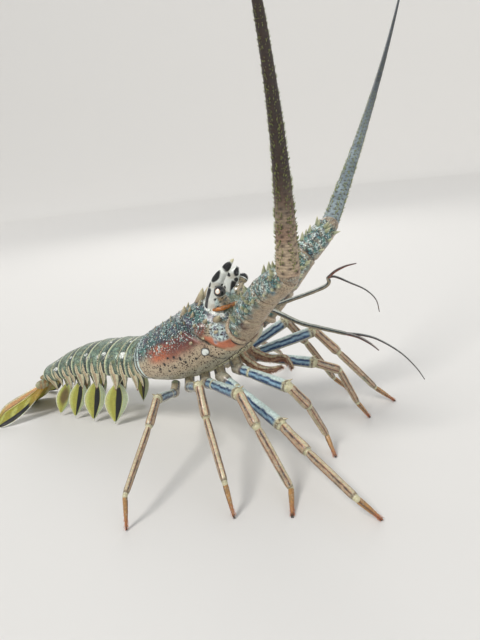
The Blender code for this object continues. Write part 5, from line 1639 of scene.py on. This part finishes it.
@dataclass
class Tail:
    """Six overlapping tail rings with pointed side plates, and the leaves under them."""

    stance: Stance
    columns: int = 240
    notch: float = 5.0
    back_share: float = 0.58
    back_bulge: float = 0.95
    belly_bulge: float = 0.55
    joints: Knots = (
        (-57.2, 77.6, 22.7, 25.5, 35.0), (-62.0, 76.9, 3.0, 26.0, 32.5),
        (-80.5, 75.2, -5.0, 26.0, 30.0), (-102.0, 72.5, -2.0, 25.2, 28.3),
        (-123.0, 67.6, 5.0, 23.5, 26.2), (-143.5, 59.6, 14.0, 21.0, 23.0),
        (-170.0, 45.8, 31.0, 15.6, 16.2))
    growth: Knots = ((-0.06, 0.90), (0.0, 0.935), (0.14, 0.985), (0.34, 1.0), (0.44, 0.975),
                     (0.54, 1.0), (0.86, 1.01), (1.0, 1.015), (1.04, 1.0))
    teeth: Knots = ((10.5, 0.70, 5.4), (6.5, 0.28, 3.6))
    shrink: Row = (0.75, 1.0, 1.0, 0.95, 0.85, 0.75)
    plate_level: float = 0.66
    rear_swell: float = 4.5
    leaf_half: Row = (11.0, 10.2, 8.8, 8.4)
    leaf_share: Row = (0.74, 0.88, 0.98, 0.96)
    leaf_lean: Row = (8.0, 9.0, 12.0, 15.0)
    leaf_floor: float = 2.4
    leaf_rows: int = 72
    plate_rows: int = 44
    plate_columns: int = 56
    spots: Knots = ((1, 0.22, 56.0, 4.2), (1, 0.18, 16.0, 1.8), (2, 0.22, 52.0, 2.6),
                    (2, 0.30, 14.0, 1.7), (3, 0.22, 50.0, 2.1), (4, 0.20, 48.0, 2.1),
                    (5, 0.18, 70.0, 3.8), (5, 0.20, 34.0, 1.7))
    strips: Knots = ((0.26, 0.10), (0.72, 0.13))
    strip_zones: Zones = (Edge(Tone.INK, 1.4, 1.1, 0.85), Edge(Tone.CREAM, 0.95, 0.75),
                          Edge(Tone.PINK * 0.7, 0.45, 0.15, 0.7))
    lines: Zones = (
        Stripe(Tone.MOSS * 0.6, 0.86, 0.01, 0.03, 0.7),
        Stripe(Tone.MOSS * 0.6, 0.40, 0.01, 0.02, 0.6),
        Stripe(Tone.CREAM, 0.455, 0.016, 0.012),
        Edge(Tone.SAGE * 1.1, 0.92, 0.95), Edge(Tone.CREAM * 1.1, 0.975, 0.99))

    def state(self, segment: int, share: Array) -> tuple[Array, ...]:
        """x, z, slope, half width and height: a cubic for x and z, straight for others."""
        rows = np.asarray(self.joints)
        share = np.asarray(share, dtype=float)
        here = np.clip(share, 0.0, 1.0)
        middle = cubic(rows[:, :2], segment + np.minimum(here, 0.9999))
        slope, width, height = (rows[segment, column] * (1.0 - share)
                                + rows[segment + 1, column] * share for column in (2, 3, 4))
        turn = np.radians(slope)
        span = np.linalg.norm(rows[segment + 1, :2] - rows[segment, :2])
        beyond = (share - here) * max(span, 14.0)
        return (middle[..., 0] - np.cos(turn) * beyond, middle[..., 1] - np.sin(turn) * beyond,
                slope, width, height)

    def axes(self, slope: Array) -> tuple[Array, Array]:
        """Rearward and upward directions of a ring."""
        turn = np.radians(slope)
        zero = np.zeros_like(turn)
        return (np.stack((-np.cos(turn), zero, -np.sin(turn)), axis=-1),
                np.stack((-np.sin(turn), zero, np.cos(turn)), axis=-1))

    def ring(self, segment: int, share: Array, angle: Array, growth: Array) -> Array:
        """Ring points: lift = h sgn|cos a|^b above the middle, width sin a to the side."""
        x, z, slope, width, height = self.state(segment, share)
        rear, rise = self.axes(slope)
        side = np.sin(np.radians(angle))
        upper = np.cos(np.radians(angle))
        reach = np.where(upper >= 0.0, height * self.back_share, height * (1.0 - self.back_share))
        power = np.where(upper >= 0.0, self.back_bulge, self.belly_bulge)
        lift = reach * np.sign(upper) * np.abs(upper) ** power * growth
        centre = np.stack((x, 0.0 * x, z), axis=-1) - rise * (height * self.back_share)[..., None]
        point = centre + rise * lift[..., None]
        point = point + np.stack((0.0 * x, width * growth * side, 0.0 * x), axis=-1)
        if segment == 0:
            pull = self.notch * np.maximum(0.0, upper) * (1.0 - share)
            point = point - rear * pull[..., None]
        return self.stance.level(point)

    def build_ring(self, segment: int) -> None:
        """One ring with its groove, rolled rear edge, side plates and markings."""
        front = -0.06 if segment else 0.0
        outer = np.linspace(front, 1.04, 70 if segment else 40)
        inner = np.array((1.035, 1.0, 0.94))
        shares = np.concatenate((outer, inner))
        growth = np.concatenate((profile(self.growth, outer), (0.975, 0.95, 0.90)))
        share, angle = np.meshgrid(shares, around(self.columns), indexing="ij")
        rise = np.broadcast_to(growth[:, None], share.shape).copy()
        low = fold(angle)
        rise -= 0.02 * band(share, 0.43, 0.015, 0.03) * (low < 110.0)
        rise += 0.012 * band(share, 0.96, 0.05, 0.03) * (low < 120.0)
        rise += 0.004 * ripple(share * 20.0, angle * 0.3, 3.0, 70 + segment) * (low < 120.0)
        surface = Surface("abdomen_{}_surface".format(segment + 1))
        tint, marks = self.paint(segment, share, angle)
        surface.add(self.ring(segment, share, angle, rise), tint, marks)
        self.plates(surface, segment)
        if segment == len(self.joints) - 2:
            self.add_rear_face(surface)
        surface.build("abdomen", TAIL, "abdomen_{}".format(segment + 1))

    def add_rear_face(self, surface: Surface) -> None:
        """Add the swollen skin behind the last ring: a flat egg, from which the fan grows."""
        x, z, slope, width, height = self.joints[-1]
        rear, rise = self.axes(np.array(slope))
        centre = self.stance.level(np.array((x, 0.0, z)) - rise * height * 0.5)
        across = np.array((0.0, width * 0.88, 0.0))
        grid = ball(centre, rear * self.rear_swell, across, rise * height * 0.44, 24, 72)
        wave = ripple(grid[..., 1], grid[..., 2], 6.0, 98)
        surface.add(grid, layered(wave.shape, Tone.DUSK * 0.8,
                                  (Tone.OLIVE * 0.7, step(wave, -0.1, 0.4))), (0.3, 0.1, 0.3))

    def paint(self, segment: int, share: Array, angle: Array) -> tuple[Array, Array]:
        """Grey-green rings with a pale rear band, a cream groove line and white spots."""
        low = fold(angle)
        wave, fine = (ripple(share * 20.0, angle * 0.4, pitch, seed + segment)
                      for pitch, seed in ((9.0, 80), (3.5, 85)))
        spots = [(Tone.WHITE, spot(share * 22.0, low * 0.45, (place * 22.0, turn * 0.45),
                                   (radius, radius), 0.3))
                 for part, place, turn, radius in self.spots if part == segment]
        above = step(low, 72.0, 78.0)
        strips: list[Layer] = []
        for place, half in self.strips:
            inside = np.abs(share - place) / (half * (0.35 + 0.65 * step(low, 74.0, 100.0)))
            strips.extend((colour, mask * above) for colour, mask in zones(inside, self.strip_zones))
        tint = layered(
            share.shape, Tone.DUSK,
            (Tone.OLIVE * 0.6, 0.35 * step(wave, 0.0, 0.5)),
            (Tone.RING, 0.7 * step(-wave, 0.0, 0.4)),
            (Tone.BARK * 0.5, 0.35 * step(fine, 0.1, 0.5)),
            Stripe(Tone.INK, 0.15, 0.08, 0.08, 0.8).layer(share + 0.03 * fine),
            *zones(share, self.lines), *spots, *strips,
            Edge(Tone.CREAM * 0.8, 124.0, 138.0).layer(low))
        plain = (1.0 - step(low, 78.0, 92.0)) * (1.0 - step(share, 0.84, 0.9))
        return tint, np.stack((0.5 + 0.3 * plain, 0.35 * plain, 0.3 * plain), axis=-1)

    def plates(self, surface: Surface, segment: int) -> None:
        """Add the pointed side plates: flat cones from the flank down past the belly."""
        shrink = self.shrink[segment]
        rows = np.linspace(0.0, 1.0, self.plate_rows)
        turns = np.radians(around(self.plate_columns))
        taper = (1.0 - rows ** 1.7) * 1.04 + 0.01
        down, lane = np.meshgrid(rows, np.cos(turns), indexing="ij")
        streak = np.maximum(step(np.abs(lane), 0.78, 0.88), band(lane, 0.34, 0.04, 0.05))
        tint = layered(
            lane.shape, Tone.CREAM,
            (Tone.SAGE, 0.5 * step(ripple(down * 9, lane * 3, 4.0, 90), 0.0, 0.4)),
            Stripe(Tone.PINK * 0.7, 0.0, 0.22, 0.14, 0.7).layer(lane),
            (Tone.INK, 0.85 * streak),
            Edge(Tone.BLOOD, 0.86, 0.95).layer(down))
        for side in Side:
            out = side.point(0.0, 1.0, 0.0)
            for reach, share, half in self.teeth:
                x, z, slope, width, height = self.state(segment, np.array(share))
                rear, rise = self.axes(slope)
                top = side.point(x, width - 2.2, z) - rise * height * self.plate_level
                depth = height * (1.0 - self.plate_level) + reach * shrink
                move = -rise * depth + rear * 1.6 - out
                bow = rear * (-1.4 * np.sin(rows * np.pi))[:, None]
                centre = self.stance.level(top) + move * rows[:, None] + bow
                flat = np.cos(turns)[None, :, None] * rear * half * shrink * 0.98
                thick = np.sin(turns)[None, :, None] * out * 1.7
                surface.add(centre[:, None] + (flat + thick) * taper[:, None, None], tint,
                            (0.25, 0.1, 0.1))

    def build_leaf(self, order: int, side: Side) -> None:
        """One swimmeret: a leaf on a short forked stalk, with a dark band and pale rim."""
        x, z, slope, width, height = self.state(order + 1, np.array(self.leaf_share[order]))
        root = side.point(x, width - 8.0, z) - self.axes(slope)[1] * (height - 2.0)
        share = np.linspace(0.0, 1.0, self.leaf_rows)
        move = side.point(-self.leaf_lean[order], 5.0, self.leaf_floor - root[2])
        centre = self.stance.level(root + move * share[:, None])
        turn = math.radians(-side.value * 20.0)
        across = np.array((math.cos(turn), math.sin(turn), 0.0))
        body = np.clip((share - 0.12) / 0.88, 0.0, 1.0)
        stalk = 0.22 * (1.0 - step(share, 0.13, 0.19))
        half = self.leaf_half[order] * np.maximum(np.maximum(stalk, 0.06), np.sin(np.pi * body ** 0.85))

        def veins(along: Array, lane: Array) -> Array:
            """Fine ribs that fan out from the stalk."""
            return 0.10 * np.cos(lane * 34.0) * band(along, 0.6, 0.25, 0.12)

        grid, along, lane = leaf(centre, across, half, np.full(self.leaf_rows, 0.6), 96, veins)
        name = "swimmeret_{}_{}".format(side.label, order + 2)
        surface = Surface(name + "_surface")
        surface.add(grid, self.paint_leaf(order, along, lane), (0.0, 0.0, 0.12))
        fork = centre[0] + np.array((0.0, 0.0, 4.0))
        way = np.linspace(0.0, 1.0, 30)[:, None]
        for spread, back in ((-0.55, 0.0), (0.62, 1.5)):
            start = fork + across * (self.leaf_half[order] * spread) - side.point(0.0, back, 0.0)
            path = Path(start + (centre[16] - start) * way, across)
            tube, _, angle = path.tube(np.linspace(1.5, 0.9, 30), 20)
            line = Stripe(Tone.INK, 90.0, 14.0, 10.0).layer(fold(angle))
            surface.add(tube, layered(angle.shape, Tone.CREAM, line), (0.0, 0.0, 0.1))
        surface.build("swimmeret", LEAF, name)

    def paint_leaf(self, order: int, along: Array, lane: Array) -> Array:
        """A yellow leaf with a bent dark band, green behind it and a pale rim; the last
        leaf has a brown middle in place of the band."""
        last = order == len(self.leaf_half) - 1
        wave = ripple(along * 20.0, lane * 5.0, 8.0, 91 + order)
        bend = lane + 0.10 * np.sin(along * np.pi) + 0.03 * wave
        dark = band(bend, 0.30, 0.23, 0.05) * step(along, 0.2, 0.26)
        stain = spot(along, lane, (0.5, 0.0), (0.34, 0.75), 0.6)
        return layered(
            along.shape, Tone.LEMON,
            Stripe(Tone.OLIVE, -0.15, 0.18, 0.3, 0.7).layer(bend),
            (Tone.CREAM, 0.6 * step(-bend, 0.55, 0.85)),
            (Tone.SAGE * 1.1, step(bend, 0.56, 0.66)),
            (Tone.BLACK, dark * (1.0 - 0.85 * last)),
            (Tone.EARTH, 0.8 * stain * last),
            (Tone.WHITE, step(np.abs(lane), 0.93, 0.97)),
            (Tone.CREAM, 1.0 - step(along + 0.6 * np.abs(bend - 0.1), 0.24, 0.3)),
            (Tone.WHITE, 0.7 * step(along, 0.94, 0.97)))

    def build(self) -> None:
        """Make the rings and the leaves."""
        for segment in range(len(self.shrink)):
            self.build_ring(segment)
        for order in range(len(self.leaf_half)):
            for side in Side:
                self.build_leaf(order, side)


@dataclass
class TailFan:
    """Telson and four blades that slope from the tail's end down to the floor."""

    telson: Row = (0.0, 0.0, 37.5, 57.0, 10.5, 0.0)
    inner: Row = (22.0, 8.6, 36.0, 58.0, 8.0, 30.0)
    outer: Row = (50.0, 15.0, 31.5, 55.0, 9.8, 60.0)
    root_x: float = -168.0
    rest: float = 0.5
    sag: float = 1.8
    slack: float = 1.06
    widest: float = 0.72
    root_width: float = 0.28
    least_width: float = 0.16
    root_size: Row = (6.4, 2.9, 2.0)

    def reach(self, sizes: Row) -> float:
        """Level length of a blade: the other side of its slope, with some slack."""
        return math.sqrt(sizes[3] ** 2 - sizes[2] ** 2) * self.slack

    def width(self, half: float, share: Array) -> Array:
        """Half width: grows as a sine to its widest place, then rounds off."""
        swell = self.root_width + (1.0 - self.root_width) * np.sin(
            np.minimum(1.0, share / self.widest) * np.pi / 2.0)
        past = np.maximum(0.0, (share - self.widest) / (1.0 - self.widest))
        return half * np.maximum(self.least_width, swell * np.sqrt(np.maximum(0.0, 1.0 - past ** 2)))

    def build_blade(self, stance: Stance, name: str, sizes: Row, sign: float) -> None:
        """One blade with its ribs, dark band, pale margin and fringe."""
        azimuth, offset, height, length, half, roll = sizes
        turn = math.radians(180.0 - sign * azimuth)
        tilt = math.radians(roll)
        run = np.array((math.cos(turn), math.sin(turn), 0.0))
        outward = np.array((run[1], -run[0], 0.0)) * sign
        side = outward * math.cos(tilt) - UP * math.sin(tilt)
        first = 0.0 if name != "telson" else 0.06
        share = np.linspace(first, 1.0, 110)
        width = self.width(half, share)
        drop = height - self.rest - float(self.width(half, np.array(0.0))) * math.sin(tilt)
        lift = self.rest + width * math.sin(tilt) + drop * (1.0 - share) ** self.sag
        centre = (np.array((self.root_x, sign * offset, 0.0))
                  + run * (self.reach(sizes) * share)[:, None] + UP * lift[:, None])
        centre = stance.level(centre)
        width = width * np.where(share > 0.97, np.sqrt(np.maximum(0.1, (1.0 - share) / 0.03)), 1.0)
        thick = 0.55 + 0.3 * (1.0 - share)

        def ribs(along: Array, lane: Array) -> Array:
            """A main rib near the middle, and fine ones that spread to the far edge."""
            main = 0.5 * np.exp(-((lane + 0.25) / 0.09) ** 2) * (1.0 - step(along, 0.6, 0.9))
            return main + 0.09 * np.cos(lane * 60.0) * step(along, 0.4, 0.6)

        grid, along, lane = leaf(centre, side, width, thick, 160, ribs)
        surface = Surface(name + "_surface")
        surface.add(grid, self.paint(along, lane, -lane if roll else 0.4 - np.abs(lane)), (0.1, 0.0, 0.2))
        length, across, above = self.root_size
        lobe = ball(centre[0] + run * 2.0, run * length, side * max(across, width[0] * 1.6),
                    np.cross(side, run) * above, 24, 40)
        mask = step(ripple(lobe[..., 0], lobe[..., 1], 5.0, 99), -0.5, 0.5)
        surface.add(lobe, layered(mask.shape, Tone.GOLD * 0.66, (Tone.SAGE * 0.85, mask)),
                    (0.3, 0.0, 0.3))
        surface.build("tail_fan", LEAF, name)

    def paint(self, along: Array, lane: Array, upper: Array) -> Array:
        """Olive and yellow, with a dark band along the inner edge and a pale margin."""
        wave = ripple(along * 30, lane * 8, 9.0, 95)
        gold = band(upper, 0.62, 0.16, 0.12) * (1.0 - step(along, 0.7, 1.0))
        return layered(
            along.shape, Tone.OLIVE,
            (Tone.LEMON, 0.7 * step(wave, 0.0, 0.5)),
            (Tone.AMBER * 0.7, 0.5 * (1.0 - step(along, 0.1, 0.5))),
            (Tone.GOLD * 1.1, gold),
            (Tone.CREAM, step(upper, 0.78, 0.88)),
            Stripe(Tone.EARTH, 0.42, 0.03, 0.05, 0.6).layer(upper),
            (Tone.BLACK, band(upper, -0.68, 0.19, 0.05) * step(along, 0.3, 0.4)),
            (Tone.WHITE, step(-upper, 0.91, 0.95) * step(along, 0.2, 0.3)),
            Edge(Tone.MIST, 0.975, 0.99).layer(along))

    def build(self, stance: Stance) -> None:
        """Make the telson and the four blades."""
        self.build_blade(stance, "telson", self.telson, 1.0)
        for side in Side:
            self.build_blade(stance, "uropod_" + side.label + "_inner", self.inner, side.value)
            self.build_blade(stance, "uropod_" + side.label + "_outer", self.outer, side.value)


@dataclass
class Studio:
    """Pale floor that curves up far away, soft lights, even surroundings and the camera."""

    stance: Stance
    flat_radius: float = 5.0
    bowl_radius: float = 8.0
    bowl_height: float = 6.0
    floor_columns: int = 96
    camera_place: Row = (194.26, -344.76, 204.35)
    azimuth: float = 24.32
    elevation: float = 16.08
    roll: float = -6.0
    lens: float = 27.91
    sensor: float = 36.0

    def floor(self) -> None:
        """A disc whose height rises as a smooth step toward its far edge."""
        radii = np.concatenate((np.linspace(0.05, self.flat_radius, 30),
                                np.linspace(self.flat_radius, self.bowl_radius, 30)[1:]))
        turns = np.radians(around(self.floor_columns))
        height = self.bowl_height * step(radii, self.flat_radius, self.bowl_radius)
        grid = np.stack((radii[:, None] * np.cos(turns), radii[:, None] * np.sin(turns),
                         height[:, None] + 0.0 * turns), axis=-1)
        coords = np.concatenate((grid.reshape(-1, 3), np.zeros((1, 3))))
        here = np.arange(radii.size * turns.size).reshape(-1, turns.size)
        after = np.roll(here, -1, axis=1)
        quads = np.stack((here[:-1], here[1:], after[1:], after[:-1]), axis=-1).reshape(-1, 4)
        fan = [(int(a), int(b), len(coords) - 1) for a, b in zip(here[0], after[0])]
        mesh = bpy.data.meshes.new("floor")
        mesh.from_pydata(coords.tolist(), [], quads.tolist() + fan)
        mesh.shade_smooth()
        obj = placed("floor", mesh)
        made = bpy.data.materials.new("studio_floor")
        made.use_nodes = True
        surface = made.node_tree.nodes["Principled BSDF"]
        surface.inputs["Base Color"].default_value = (0.72, 0.71, 0.69, 1.0)
        surface.inputs["Roughness"].default_value = 0.75
        mesh.materials.append(made)

    def light(self, name: str, place: Row, size: float, power: float, colour: Row) -> None:
        """An area light that faces the middle of the animal."""
        lamp = bpy.data.lights.new(name, "AREA")
        lamp.shape = "DISK"
        lamp.size = size
        lamp.energy = power
        lamp.color = colour
        obj = placed(name, lamp)
        aim = np.array(place) - np.array((0.0, 0.0, 0.1))
        back = unit(aim)
        right = unit(np.cross(UP + (0.01, 0.0, 0.0), back))
        obj.matrix_world = self.matrix(place, right, np.cross(back, right), back)

    @staticmethod
    def matrix(place: Row, right: Array, above: Array, back: Array) -> Matrix:
        """A pose from its place and its right, up and back directions."""
        rows = np.eye(4)
        rows[:3, 0] = right
        rows[:3, 1] = above
        rows[:3, 2] = back
        rows[:3, 3] = place
        return Matrix(rows.tolist())

    def camera(self) -> None:
        """The camera at the photograph's place: back from azimuth and elevation, then the
        right and up directions turned by the roll."""
        turn = math.radians(self.azimuth)
        rise = math.radians(self.elevation)
        tip = math.radians(self.roll)
        back = np.array((math.sin(turn) * math.cos(rise), -math.cos(turn) * math.cos(rise),
                         math.sin(rise)))
        level = np.array((math.cos(turn), math.sin(turn), 0.0))
        above = np.cross(back, level)
        right = level * math.cos(tip) + above * math.sin(tip)
        data = bpy.data.cameras.new("camera")
        data.lens = self.lens
        data.sensor_width = self.sensor
        data.clip_start = 0.01
        data.clip_end = 60.0
        obj = placed("camera", data)
        place = self.stance.level(np.array(self.camera_place)) * MM
        obj.matrix_world = self.matrix(place, right, np.cross(back, right), back)
        bpy.context.scene.camera = obj

    def world(self) -> None:
        """Even pale surroundings."""
        made = bpy.data.worlds.new("studio")
        made.use_nodes = True
        sky = made.node_tree.nodes["Background"]
        sky.inputs["Color"].default_value = (0.86, 0.89, 0.93, 1.0)
        sky.inputs["Strength"].default_value = 0.6
        bpy.context.scene.world = made

    def build(self) -> None:
        """Set up the floor, the lights, the surroundings and the camera."""
        bpy.context.scene.view_settings.view_transform = "Standard"
        self.floor()
        self.world()
        self.light("key", (-6.0, -13.0, 18.0), 7.0, 3000.0, (1.0, 0.97, 0.93))
        self.light("fill", (1.5, -0.9, 0.8), 1.4, 4.0, (0.92, 0.96, 1.0))
        self.light("rim", (-0.6, 1.3, 1.2), 1.0, 6.0, (1.0, 0.98, 0.95))
        self.camera()


def main() -> None:
    """Build every piece and log the stance's shift."""
    logging.basicConfig(level=logging.INFO, format="%(name)s: %(message)s")
    fan = TailFan()
    stance = find_stance(fan)
    log.info("shift %.3f, %.3f mm", *stance.shift)
    Carapace(stance).build()
    Head(stance).build()
    Antennae(stance).build()
    Mouth(stance).build()
    Legs(stance).build()
    Tail(stance).build()
    fan.build(stance)
    Studio(stance).build()
    bpy.context.view_layer.update()


if __name__ == "__main__":
    main()
